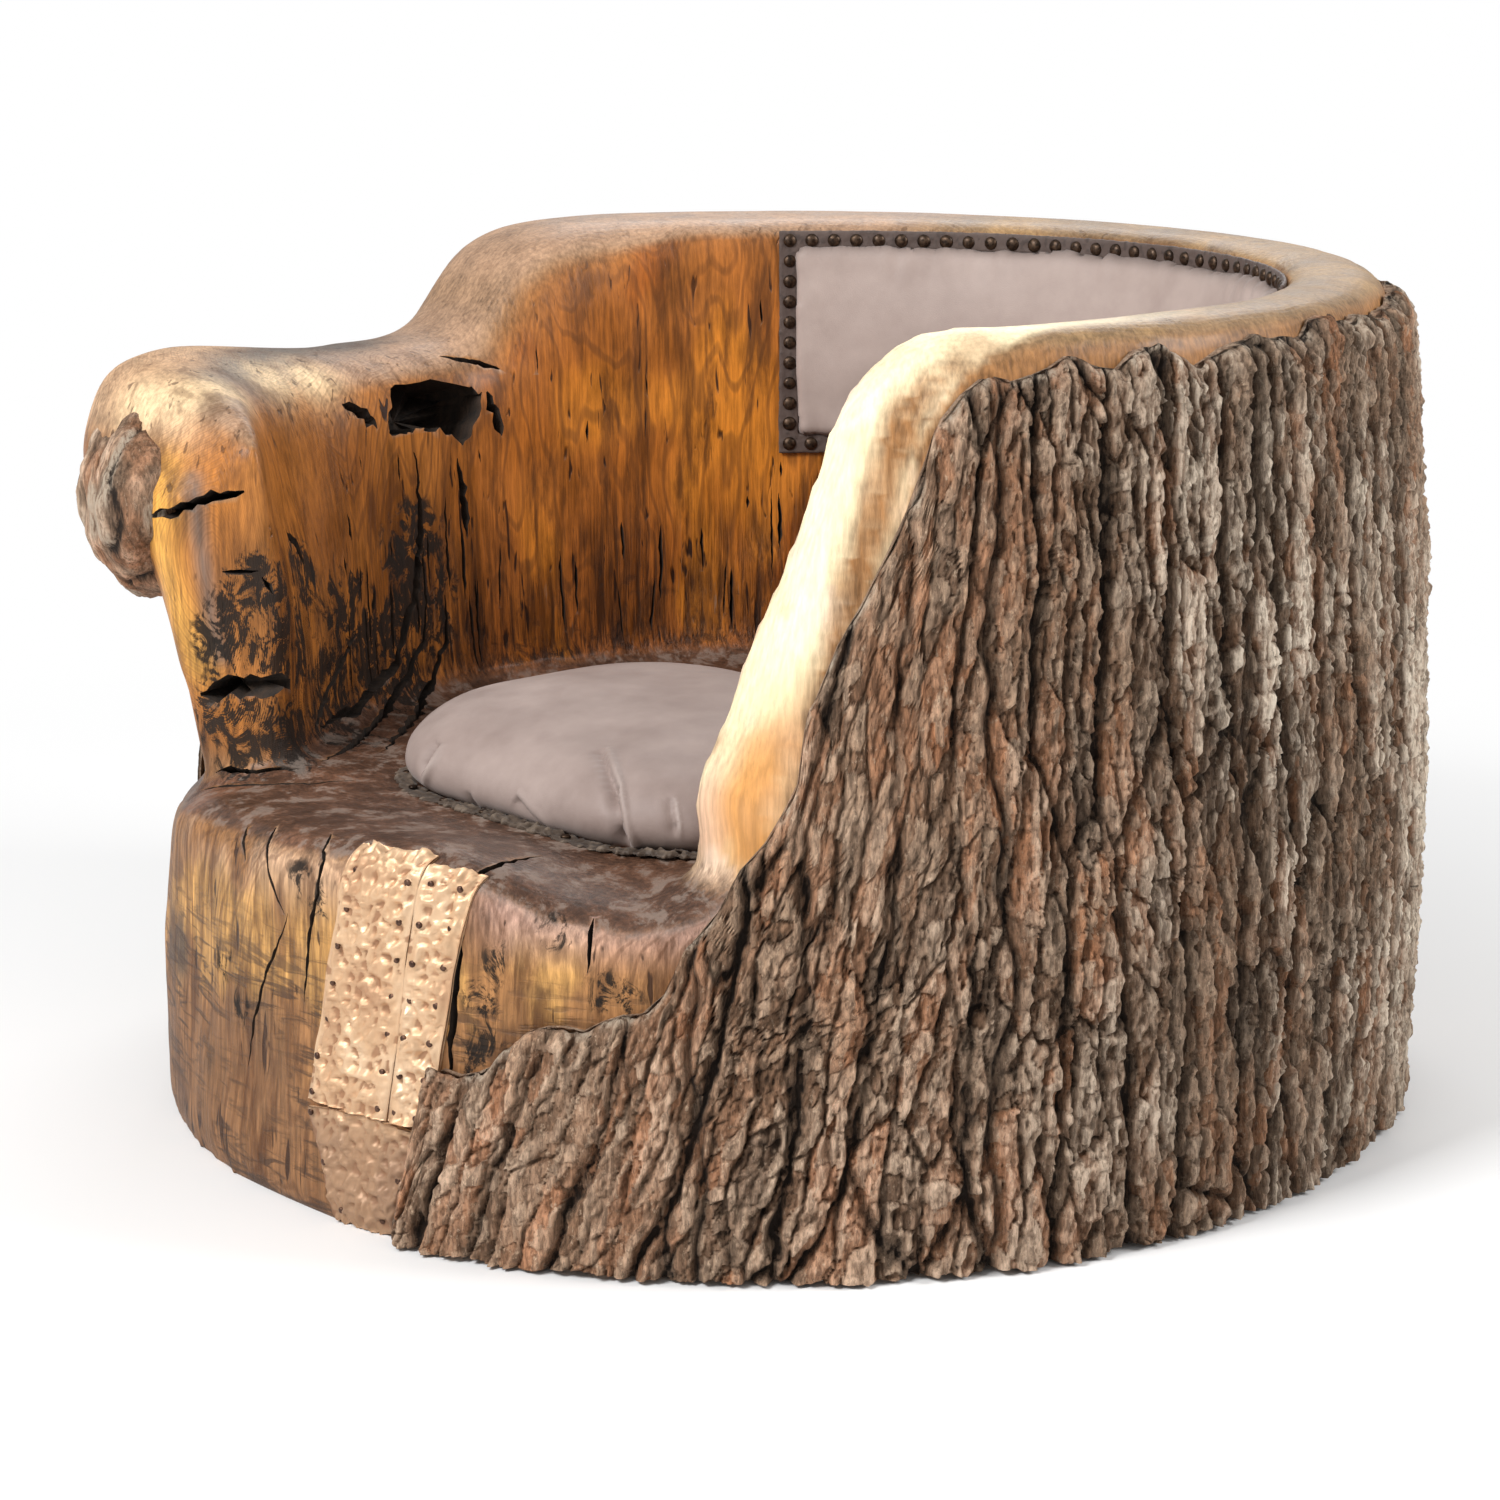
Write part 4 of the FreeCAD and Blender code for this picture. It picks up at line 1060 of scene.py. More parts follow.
# Bark
BARK_NODES = [name for name in sorted(nodes) if "bark" in name]
BARK_THICKNESS = 0.026
BARK_FLOOR = 0.006
BARK_GRID = 0.0019
BARK_BACK_STEP = 8
BARK_BACK_DEPTH = 0.001
MEAN_RADIUS = 0.6
# The furrows of the solid slabs: their pitch, where the lower tier starts, how far the upper one is moved
FURROW_PITCH = math.radians(6)
FURROW_START = math.radians(46.2)
TIER_HEIGHT = 0.375
TIER_SHIFT = -0.4
FRONT_LEAN = 0.32
LEAN_DEGREES = (15, 85)
# Strips and flakes that the plates between the furrows break into: width and height
STRIP = (0.023, 0.115)
FLAKE = (0.0075, 0.022)
# Where the log's radius is measured, and which measures count as its outside
FIT_ANGLES = np.radians(np.arange(16, 306, 4))
FIT_LEVELS = np.arange(0.02, RIM_LEVEL - 0.04, 0.05)
FIT_RADII = (0.53, 0.64)
FIT_TOLERANCE = 0.008
# Levels at which a slab is looked for, how deep, and how often the step is halved to find its ends
LEVELS = np.arange(0.004, RIM_LEVEL + 0.02, 0.008)
SLAB_REACH = 0.5
LEVEL_HALVINGS = 6
# The bark's upper edge from the front to past the swept arm: degrees from the front, and level
TOP_LINE = ((14, 0.015), (17, 0.06), (18.5, 0.11), (19.5, 0.16), (24.5, 0.165), (27.5, 0.195), (32, 0.21),
            (38, 0.235), (40.5, 0.27), (42.5, 0.31), (44.5, 0.35), (49.5, 0.425), (51.5, 0.485),
            (54.5, 0.555), (56.5, 0.595), (59, 0.65), (60.5, 0.705), (63, 0.735), (65.5, 0.745),
            (71.5, 0.755), (76, 0.755), (79, 0.77), (84, 0.745), (89, 0.76), (96, 0.76), (103, 0.77))
LEAST_TOP = 0.012
SHOULDER_DROP = 0.035
SHOULDER_DEGREES = (236, 262)
RAGGED_TOP = 0.006
RAGGED_FOOT = 0.003
LIP_HEIGHT = 0.015
SLAB_OVERLAP = 0.016
JOINT_SWAY = math.radians(1.3)
JOINT_WIDTH = 0.006
# What the vertices at the back of slabs and sheets carry, which hardly show
# Among them the painted sunlight of the bark and the painted shade in the copper's dents
BEHIND = {"relief": 0.7, "plate": 0.5, "flake": 0.5, "fresh": 0.2, "lichen": 0.0, "warm": 0.5,
          "stain": 0.0, "hollow": 0.0}


def around(angle, radius, height):
    """Places at angles round the trunk."""
    return np.stack([radius * np.sin(angle), -radius * np.cos(angle), height], axis=-1)


def outward_at(angle):
    """The level direction away from the trunk's axis at an angle."""
    return Vector((math.sin(angle), -math.cos(angle), 0))


def fit_terms(angle, height):
    turns = [np.ones_like(angle), np.cos(angle), np.sin(angle), np.cos(2 * angle), np.sin(2 * angle)]
    return np.stack([turn * height ** power for turn in turns for power in range(3)], axis=-1)


def log_radius_fit(tree):
    """The factors of the log's radius under the bark, as a smooth function of angle and height."""
    samples = []
    for angle, height in itertools.product(FIT_ANGLES, FIT_LEVELS):
        outward = outward_at(angle)
        hit = struck(tree, outward + Vector((0, 0, height)), -outward)
        if hit is not None and FIT_RADII[0] < hit.xy.length < FIT_RADII[1]:
            samples.append((angle, height, hit.xy.length))
    angle, height, radius = np.array(samples).T
    terms = fit_terms(angle, height)
    factors, _, _, _ = np.linalg.lstsq(terms, radius, rcond=None)
    keep = np.abs(terms @ factors - radius) < FIT_TOLERANCE
    factors, _, _, _ = np.linalg.lstsq(terms[keep], radius[keep], rcond=None)
    return factors


def crack_depth(distance, width):
    """How deep a crack is at a distance from its middle, from 1 to 0."""
    return np.exp(-(distance / width) ** 1.5)


def bark_relief(angle, height):
    """Height of the bark, from 0 in fissures to about 1 on plates, and the numbers of its strips and flakes.

    The main fissures run where the solid slabs have their furrows."""
    degrees = np.degrees(angle)
    along = angle * MEAN_RADIUS
    lean = FRONT_LEAN * (1 - ramp(degrees, *LEAN_DEGREES))
    across = along - FURROW_START * MEAN_RADIUS - lean * (height - TIER_HEIGHT)
    across = across + 0.006 * layered_noise(3, 2, along * 9, height * 5)
    ragged = across + 0.0030 * noise(4, along * 95, height * 36)
    ragged = ragged + 0.0014 * noise(5, along * 260, height * 110)
    climb = height + 0.02 * noise(6, along * 14, height * 7)

    pitch = FURROW_PITCH * MEAN_RADIUS
    edge, upright, plate = cells(11, ragged, climb, pitch, TIER_HEIGHT, 0.5, TIER_SHIFT)
    open_share = 0.35 + 0.65 * ramp(noise(10, along * 5, height * 3), -0.5, 0.3)
    wide = 0.0018 + 0.0018 * upright * (0.4 + np.abs(noise(7, along * 12, height * 6)))
    fissure = crack_depth(edge, wide) * (0.18 + 0.56 * upright) * open_share
    strip_edge, strip_upright, strip = cells(17, ragged, climb, *STRIP)
    strip_wide = 0.0012 + 0.0014 * np.abs(noise(8, along * 30, height * 12))
    split = crack_depth(strip_edge, strip_wide) * (0.12 + 0.30 * strip_upright)
    flake_edge, _, flake = cells(23, ragged, climb, *FLAKE)
    chips = crack_depth(flake_edge, 0.0012)

    crown = ramp(edge, 0.0, 0.012)
    fibres = 1 - 2 * np.abs(layered_noise(9, 3, ragged * 120, height * 34))
    fine = layered_noise(12, 2, across * 260, height * 130)
    relief = (0.62 + 0.12 * crown + 0.14 * (plate - 0.5) + 0.20 * (strip - 0.5) + 0.26 * (flake - 0.5)
              + 0.11 * fibres + 0.08 * fine - fissure - split - 0.15 * chips)
    calm = 0.5 * bump(degrees - 56, 11) * ramp(height, 0.22, 0.42)
    calm = np.maximum(calm, 0.4 * bump(degrees - 28, 14))
    relief = relief + (0.70 + 0.18 * (flake - 0.5) - relief) * calm
    return np.clip(relief, 0, 1.1), strip, flake


def column_ends(tree, angle):
    """Lowest and highest level at which a slab of bark covers the log at an angle."""
    outward = outward_at(angle)

    def covered(level):
        return struck(tree, outward + Vector((0, 0, level)), -outward, SLAB_REACH) is not None

    levels = [level for level in LEVELS if covered(level)]
    if not levels:
        return None
    foot, top = levels[0], levels[-1]
    step = LEVELS[1] - LEVELS[0]
    for _ in range(LEVEL_HALVINGS):
        step /= 2
        if covered(top + step):
            top += step
        if covered(foot - step):
            foot -= step
    return foot, top


def slab_span(name):
    """The angles, from the front, between which a slab of bark lies."""
    points = points_of(nodes[name].data)
    angles = np.mod(np.arctan2(points[:, 0], -points[:, 1]), 2 * math.pi)
    return angles.min(), angles.max()


LAST_BARK_ANGLE = max(slab_span(name)[1] for name in BARK_NODES)
# How far before the last slab's end, and how near to it, the bark thins out
THINNING = (LAST_BARK_ANGLE - 0.18, LAST_BARK_ANGLE - 0.03)


def slab_ends(tree, angles):
    """The ragged lower and upper ends of a slab of bark at angles."""
    columns = len(angles)
    degrees, along = np.degrees(angles), angles * MEAN_RADIUS
    ends = [column_ends(tree, angle) for angle in angles]
    known = [index for index, end in enumerate(ends) if end is not None]
    feet = np.interp(np.arange(columns), known, [ends[index][0] for index in known])
    tops = np.interp(np.arange(columns), known, [ends[index][1] for index in known])
    line_angles, line_levels = zip(*TOP_LINE)
    line = np.interp(degrees, line_angles, line_levels)
    tops = np.where(degrees < line_angles[-1], line, tops)
    tops = tops + RAGGED_TOP * layered_noise(41, 3, along * 40, np.zeros(columns))
    tops = tops - SHOULDER_DROP * ramp(degrees, *SHOULDER_DEGREES)
    feet = feet + RAGGED_FOOT * np.abs(layered_noise(43, 2, along * 30, np.zeros(columns)))
    return feet, np.maximum(tops, LEAST_TOP)


def grid_faces(columns, rows, offset=0, turned=False):
    """Quads of a grid whose vertices run up each column in turn."""
    column, row = np.meshgrid(np.arange(columns - 1), np.arange(rows - 1), indexing="ij")
    first = (offset + column * rows + row).ravel()
    quads = np.stack([first, first + rows, first + rows + 1, first + 1], axis=1)
    return quads[:, ::-1] if turned else quads


def border_indices(columns, rows, offset=0):
    """The grid's border vertices, once round: up the last column and back down the first."""
    foot = [offset + column * rows for column in range(columns)]
    last = [offset + (columns - 1) * rows + row for row in range(1, rows)]
    top = [offset + column * rows + rows - 1 for column in range(columns - 2, -1, -1)]
    first = [offset + row for row in range(rows - 2, 0, -1)]
    return foot + last + top + first


def backed_grid(name, front, back, step):
    """A closed mesh from a fine front grid and a back grid that keeps every so many vertices."""
    columns, rows, _ = front.shape
    back_columns, back_rows, _ = back.shape
    vertices = np.concatenate([front.reshape(-1, 3), back.reshape(-1, 3)])
    offset = columns * rows
    faces = grid_faces(columns, rows).tolist()
    faces += grid_faces(back_columns, back_rows, offset, True).tolist()
    fine = border_indices(columns, rows)
    coarse = border_indices(back_columns, back_rows, offset)
    for index, corner in enumerate(coarse):
        following = coarse[(index + 1) % len(coarse)]
        run = [fine[(index * step + part) % len(fine)] for part in range(step + 1)]
        faces.append([following, *reversed(run), corner][::-1])
    mesh = bpy.data.meshes.new(name)
    mesh.from_pydata(vertices.tolist(), [], faces)
    mesh.validate()
    return mesh


def paint_front(mesh, layers):
    """Paint layers on the front of a backed grid, and one number for each on its back."""
    for name, values in layers.items():
        back = np.full(len(mesh.vertices) - values.size, BEHIND[name])
        paint(mesh, **{name: np.concatenate([values.ravel(), back])})


def whole_steps(length, grid, step):
    """A number of vertices along a length that a coarser grid can share."""
    return step * max(2, round(length / grid / step)) + 1


def bark_slab(name, factors):
    """One slab of bark, with its furrows, laid on the log where the solid slab lies."""
    low_angle, high_angle = slab_span(name)
    arc = (high_angle - low_angle) * MEAN_RADIUS
    columns = whole_steps(arc, BARK_GRID, BARK_BACK_STEP)
    shares = np.linspace(0, 1, columns)
    nominal = low_angle + (high_angle - low_angle) * ((1 + 2 * SLAB_OVERLAP) * shares - SLAB_OVERLAP)
    feet, tops = slab_ends(solid_tree(name), nominal)
    rows = whole_steps(np.max(tops - feet), BARK_GRID, BARK_BACK_STEP)
    height = feet[:, None] + (tops - feet)[:, None] * np.linspace(0, 1, rows)[None, :]
    share = np.broadcast_to(shares[:, None], height.shape)

    def sway(joint_angle):
        """How far the joint beside a slab strays; both slabs at a joint stray alike."""
        joint = np.full(height.shape, round(math.degrees(joint_angle)))
        return JOINT_SWAY * layered_noise(47, 3, joint, height * 8)

    angle = nominal[:, None] + sway(low_angle) * (1 - share) + sway(high_angle) * share
    degrees = np.degrees(angle)
    relief, plate, flake = bark_relief(angle, height)
    relief = relief * (1 - 0.75 * bump(np.minimum(share, 1 - share) * arc, JOINT_WIDTH))
    from_top = tops[:, None] - height
    lip = np.sqrt(np.clip(from_top / LIP_HEIGHT, 0, 1))
    thickness = (BARK_FLOOR + relief * (BARK_THICKNESS - BARK_FLOOR)) * (0.5 + 0.5 * lip)
    thickness = thickness * (1 - 0.75 * ramp(angle, *THINNING))
    base = fit_terms(angle, height) @ factors
    front = around(angle, base + thickness, height)
    kept = np.s_[::BARK_BACK_STEP, ::BARK_BACK_STEP]
    back = around(angle[kept], base[kept] - BARK_BACK_DEPTH, height[kept])
    mesh = backed_grid(name, front, back, BARK_BACK_STEP)
    layers = {
        "relief": relief,
        "plate": plate,
        "flake": flake,
        "fresh": bump(from_top, 0.005) * ramp(layered_noise(53, 2, angle * 40, height * 30), -0.3, 0.4),
        "lichen": np.clip(ramp(degrees, 60, 110) + 0.25, 0, 1),
        # Painted sunlight, full towards the front and gone by 90 degrees round
        "warm": ramp(degrees, 90, 42),
    }
    paint_front(mesh, layers)
    new_piece(f"{name}_furrowed", mesh, BARK, "bark", name)


# Burl
BURL_VOXEL = 0.0042
BURL_ROUNDS = 12
BURL_LUMPS = 0.011
BURL_RELIEF = 0.007
BURL_TUCK = 0.012
BURL_STRETCH = 1.18


def dressed_burl():
    """The knob of bark over the stub arm's tip: lumpy, cracked and scabbed."""
    mesh, points, normals = softened("burl", "stub_arm_burl", BURL_VOXEL, BURL_ROUNDS)
    x, y, z = points.T
    lumps = BURL_LUMPS * layered_noise(61, 2, x * 15, y * 15, z * 15)
    scabs = layered_noise(63, 3, x * 55, y * 55, z * 40)
    folds = np.abs(noise(67, x * 24, y * 24, z * 16))
    relief = np.clip(0.62 + 0.35 * scabs - 0.55 * bump(folds, 0.10), 0, 1)
    points = points + normals * (lumps + BURL_RELIEF * (relief - 0.6))[:, None]
    middle = (z.min() + z.max()) / 2
    points[:, 2] = middle - BURL_TUCK + (points[:, 2] - middle) * BURL_STRETCH
    move_points(mesh, points)
    paint(mesh, relief=relief,
          plate=0.5 + 0.5 * noise(71, x * 20, y * 20, z * 20),
          flake=0.5 + 0.5 * noise(73, x * 60, y * 60, z * 60),
          fresh=ramp(noise(75, x * 42, y * 42, z * 30), 0.42, 0.6),
          lichen=np.full(len(points), 0.4),
          # Painted sunlight on the burl
          warm=np.full(len(points), 0.8))
    new_piece("burl_knob", mesh, BARK, "bark", "stub_arm_burl")


# Copper patch
COPPER_NODES = ("copper_foot", "copper_left", "copper_right")
COPPER_SEEDS = (101, 111, 121)
COPPER_GRID = 0.0025
COPPER_STANDOFF = 0.0006
COPPER_THICKNESS = 0.0012
COPPER_BACK_DEPTH = 0.0005
COPPER_LAP = 0.04
# The line that the sheets bend round: its level, its depth, and how it curves with the trunk's face
COPPER_HUB_LEVEL = 0.24
COPPER_HUB_DEPTH = -0.50
COPPER_HUB_CURVE = 0.5
COPPER_LAP_TILT = 62
TILT_STEP = 2
LEVEL_STEP = 0.006
LAP_REACH = 0.1
RAY_REACH = 0.5
END_BAND = 0.004
HAMMER_CELL = 0.0115
HAMMER_DEPTH = 0.0036
EDGE_CURL = 0.0012
EDGE_CURL_WIDTH = 0.006
STAIN_LEVELS = (0.17, 0.07)


def sheet_corner_lines(name):
    """A sheet's lowest and highest level on the trunk's face, and its sides at both."""
    points = points_of(nodes[name].data)
    low, high = points[:, 2].min(), points[:, 2].max()
    foot = points[points[:, 2] < low + END_BAND, 0]
    top = points[points[:, 2] > high - END_BAND, 0]
    return low, high, (foot.min(), foot.max()), (top.min(), top.max())


def sheet_profile(tree, name, share, lapped):
    """Places and facings up one line of a sheet, from its foot and, if it laps, over the seat's edge."""
    low, high, foot, top = sheet_corner_lines(name)
    start = foot[0] + (foot[1] - foot[0]) * share
    end = top[0] + (top[1] - top[0]) * share
    hub_y, hub_z = COPPER_HUB_DEPTH + COPPER_HUB_CURVE * end ** 2, COPPER_HUB_LEVEL

    def across(level):
        return start + (end - start) * (level - low) / (high - low)

    rays = []
    for level in np.arange(low, min(high, hub_z), LEVEL_STEP):
        rays.append((Vector((across(level), hub_y, level)), Vector((0, -1, 0))))
    if lapped:
        for tilt in np.radians(np.arange(0, COPPER_LAP_TILT, TILT_STEP)):
            level = min(hub_z + LAP_REACH * math.sin(tilt), high)
            rays.append((Vector((across(level), hub_y, hub_z)), Vector((0, -math.cos(tilt), math.sin(tilt)))))
    else:
        rays.append((Vector((end, hub_y, high)), Vector((0, -1, 0))))
    hits = [tree.ray_cast(middle + away * RAY_REACH, -away) for middle, away in rays]
    return np.array([hit[0] for hit in hits]), np.array([hit[1] for hit in hits])


def steps_along(places):
    """How far along a line each of its places is."""
    return np.concatenate([[0], np.cumsum(np.linalg.norm(np.diff(places, axis=0), axis=1))])


def evenly(places, facings, reach, count):
    """A line's places and facings at even steps along it, as far as the reach, and the steps."""
    steps = steps_along(places)
    wanted = np.linspace(0, reach, count)
    spread = [np.stack([np.interp(wanted, steps, values[:, axis]) for axis in range(3)], axis=1)
              for values in (places, facings)]
    return spread[0], spread[1], wanted


def copper_sheet(tree, name, seed):
    """One hammered sheet laid over the trunk, with ragged edges and darker stains low down."""
    lapped = name != "copper_foot"
    low, high, foot, top = sheet_corner_lines(name)
    columns = whole_steps(max(foot[1] - foot[0], top[1] - top[0]), COPPER_GRID, 1)
    rows = whole_steps(high - low + (COPPER_LAP if lapped else 0), COPPER_GRID, 1)
    shares = np.linspace(0, 1, columns)
    lines = [sheet_profile(tree, name, share, lapped) for share in shares]
    reach = min(steps_along(places)[-1] for places, _ in lines)
    columns_laid = [evenly(*line, reach, rows) for line in lines]
    places, facings, climb = (np.array(values) for values in zip(*columns_laid))
    facings /= np.linalg.norm(facings, axis=2, keepdims=True)
    across = places[..., 0]
    edge, _, number = cells(seed, across, climb, HAMMER_CELL, HAMMER_CELL)
    dents = ramp(edge, 0.0, 0.0045) + 0.9 * noise(seed + 5, across * 110, climb * 110) + 0.6 * (number - 0.5)
    share = shares[:, None] * np.ones((1, rows))
    side = np.minimum(share, 1 - share) * (top[1] - top[0])
    curl = EDGE_CURL * bump(side, EDGE_CURL_WIDTH) * (1 + noise(seed + 9, share * 3, climb * 40))
    hammered = HAMMER_DEPTH * (1.2 - dents) * ramp(side, 0.0, 0.008)
    lift = COPPER_STANDOFF + COPPER_THICKNESS + hammered + curl
    front = places + facings * np.maximum(lift, COPPER_THICKNESS)[..., None]
    back = places - facings * COPPER_BACK_DEPTH
    mesh = backed_grid(name, front, back, 1)
    low_stain = ramp(places[..., 2], *STAIN_LEVELS) * (0.35 if lapped else 0.6)
    stain = np.clip(low_stain + 0.25 * bump(side, 0.004), 0, 1)
    # The second layer is painted shade in the deepest dents
    paint_front(mesh, {"stain": stain, "hollow": ramp(dents, 0.7, 1.6)})
    return new_piece(f"{name}_hammered", mesh, COPPER, "copper", name)


# Nails
NAIL_SEGMENTS = 18
NAIL_RINGS = 6
NAIL_SPREADS = (1.02, 1.14)
NAIL_SKEW = 0.05
NAIL_SKIRT = 0.0012
SKIRT_SHARE = 0.96
# From how far above its seat, and how far down, the surface under a nail's head is looked for
NAIL_LIFT = 0.03
NAIL_REACH = 0.08
# A nail's tip and the rim of its head, found among the solid nail's points
SAME_POINT = 1e-5
TIP_BAND = 0.0012
RIM_SHARE = 0.85


def islands(name):
    """The separate solids of a node: the points of each."""
    shape = bmesh.new()
    shape.from_mesh(nodes[name].data)
    bmesh.ops.remove_doubles(shape, verts=shape.verts, dist=SAME_POINT)
    groups, reached = [], set()
    for vertex in shape.verts:
        if vertex in reached:
            continue
        group, waiting = [], [vertex]
        reached.add(vertex)
        while waiting:
            current = waiting.pop()
            group.append(current.co.copy())
            for edge in current.link_edges:
                other = edge.other_vert(current)
                if other not in reached:
                    reached.add(other)
                    waiting.append(other)
        groups.append(np.array(group))
    shape.free()
    return groups


def nail_axis(points):
    """Where a nail's head sits and which way it faces, from the solid nail's points."""
    middle = points.mean(axis=0)
    reach = np.linalg.norm(points - middle, axis=1)
    tip = points[reach > reach.max() - TIP_BAND].mean(axis=0)
    axis = middle - tip
    axis = axis / np.linalg.norm(axis)
    along = (points - tip) @ axis
    off = np.linalg.norm(points - tip - along[:, None] * axis, axis=1)
    seat = along[off > RIM_SHARE * off.max()].min()
    return Vector(tip + axis * seat), Vector(axis)


def nail_head(seat, axis, radius, rise):
    """The points of one domed head, ring by ring from its skirt up."""
    turn = axis.to_track_quat("Z", "Y").to_matrix()
    rings = [(radius * SKIRT_SHARE, -NAIL_SKIRT)]
    for ring in range(NAIL_RINGS):
        bend = ring / NAIL_RINGS * math.pi / 2
        rings.append((radius * math.cos(bend), radius * rise * math.sin(bend)))
    points = []
    for ring_radius, height in rings:
        for segment in range(NAIL_SEGMENTS):
            angle = segment / NAIL_SEGMENTS * 2 * math.pi
            place = Vector((ring_radius * math.cos(angle), ring_radius * math.sin(angle), height))
            points.append(tuple(seat + turn @ place))
    return points


def nail_heads(name, node, material, slot, rise, tree=None):
    """Domed heads, each a little askew, at a node's nails; set down on a tree's surface if one is given."""
    generator = np.random.default_rng(len(name))
    vertices, faces = [], []
    for points in islands(node):
        seat, axis = nail_axis(points)
        if tree is not None:
            seat = struck(tree, seat + axis * NAIL_LIFT, -axis, NAIL_REACH) or seat
        off = np.linalg.norm(np.cross(points - np.array(seat), np.array(axis)), axis=1)
        radius = off.max() * generator.uniform(*NAIL_SPREADS)
        axis = (axis + Vector(generator.normal(0, NAIL_SKEW, 3))).normalized()
        first = len(vertices)
        vertices += nail_head(seat, axis, radius, rise)
        for low in range(first, first + NAIL_RINGS * NAIL_SEGMENTS, NAIL_SEGMENTS):
            for segment in range(NAIL_SEGMENTS):
                following = (segment + 1) % NAIL_SEGMENTS
                faces.append((low + segment, low + following, low + NAIL_SEGMENTS + following,
                              low + NAIL_SEGMENTS + segment))
        faces.append(tuple(first + segment for segment in reversed(range(NAIL_SEGMENTS))))
        faces.append(tuple(first + NAIL_RINGS * NAIL_SEGMENTS + segment for segment in range(NAIL_SEGMENTS)))
    mesh = bpy.data.meshes.new(name)
    mesh.from_pydata(vertices, [], faces)
    new_piece(name, mesh, material, slot, node)


# Leather
CUSHION_VOXEL = 0.0026
CUSHION_ROUNDS = 14
CUSHION_SWELL = 0.0025
CUSHION_WAVES = 0.0035
CUSHION_MIDDLE = (0.08, -0.2)
GATHER_DEPTH = 0.0022
# Pleats that the photograph shows in the cushion: pixels along each, its depth and its width
PLEATS = (
    (((602, 748), (618, 792), (629, 838)), 0.016, 0.0085),
    (((515, 796), (545, 822), (576, 846)), 0.012, 0.008),
    (((440, 742), (428, 764), (420, 790)), 0.016, 0.010),
    (((470, 790), (478, 802), (484, 812)), 0.004, 0.006),
    (((672, 800), (676, 826), (678, 850)), 0.004, 0.006),
)
PLEAT_STEPS = 8
PAD_VOXEL = 0.0045
PAD_ROUNDS = 8
PAD_SWELL = 0.0042
# How much the pad is drawn out under its border, upwards and round the hollow
PAD_SPREAD = 1.03
PAD_TURN_SPREAD = 1.008
PUCKER_DEPTH = 0.0022
# The pad's far end, by its turn round the hollow, where the leather is folded
PAD_END = (0.60, 0.78)
FOLD_DEPTH = 0.004
BAND_ROUNDS = 2
BAND_SWELL = 0.0004


def pleat_depth(points, tree):
    """How far pleats draw each point in, how near it is to a pleat's line, and to the ridge beside it."""
    drawn, crease, rubbed = (np.zeros(len(points)) for _ in range(3))
    for pixels, depth, width in PLEATS:
        places = [np.array(place) for place in seen_places(tree, pixels)]
        if len(places) < 2:
            continue
        line = []
        shares = np.linspace(0, 1, PLEAT_STEPS, endpoint=False)
        for start, end in zip(places, places[1:]):
            line += [start + (end - start) * share for share in shares]
        line = np.array(line + places[-1:])
        distance = np.linalg.norm(points[:, None, :] - line[None], axis=2)
        nearest = distance.min(axis=1)
        index = distance.argmin(axis=1)
        across = np.cross(places[-1] - places[0], np.array(CAMERA_AHEAD))
        signed = (points - line[index]) @ (across / np.linalg.norm(across))
        taper = np.sqrt(index / (len(line) - 1))
        valley = bump(nearest, np.where(signed > 0, 0.35 * width, width))
        ridge = bump(signed - 0.6 * width, 0.35 * width) * bump(nearest, 1.5 * width)
        drawn = drawn + depth * taper * (valley - 0.45 * ridge)
        # Painted shade along each pleat's line
        crease = np.maximum(crease, bump(nearest, width * 0.25) * taper)
        rubbed = np.maximum(rubbed, bump(signed - 0.6 * width, 0.25 * width) * bump(nearest, width) * taper)
    return drawn, crease, rubbed


def seat_cushion():
    """The seat cushion: a full, soft leather form with a few pleats drawn in at its foot."""
    mesh, points, normals = softened("cushion", "seat_filling", CUSHION_VOXEL, CUSHION_ROUNDS)
    x, y, z = points.T
    free = ramp(z, SEAT_LEVEL + 0.004, SEAT_LEVEL + 0.03)
    soft = CUSHION_SWELL + CUSHION_WAVES * layered_noise(81, 2, x * 8, y * 8, z * 8) * free
    drawn, crease, rubbed = pleat_depth(points, mesh_tree(mesh))
    turn = np.arctan2(y - CUSHION_MIDDLE[1], x - CUSHION_MIDDLE[0])
    gathers = GATHER_DEPTH * noise(83, turn * 14, np.zeros(len(points)))
    gathers = gathers * ramp(z, SEAT_LEVEL + 0.05, SEAT_LEVEL)
    move_points(mesh, points + normals * (soft + gathers * free - drawn)[:, None])
    # Painted shade in the pleats' creases
    paint(mesh, crease=np.clip(crease * 0.9, 0, 1), rubbed=rubbed)
    piece = new_piece("seat_cushion", mesh, LEATHER, "leather", "seat_cover", "seat_filling")


def drawn_out(points):
    """The pad's points spread from its middle, along the wall of the hollow."""
    x, y, z = points.T
    across, along = x - HOLLOW_CENTRE[0], y - HOLLOW_CENTRE[1]
    turn, reach = np.arctan2(across, along), np.hypot(across, along)
    middle_turn, middle_z = (turn.min() + turn.max()) / 2, (z.min() + z.max()) / 2
    turn = middle_turn + (turn - middle_turn) * PAD_TURN_SPREAD
    return np.stack([HOLLOW_CENTRE[0] + reach * np.sin(turn), HOLLOW_CENTRE[1] + reach * np.cos(turn),
                     middle_z + (z - middle_z) * PAD_SPREAD], axis=1)


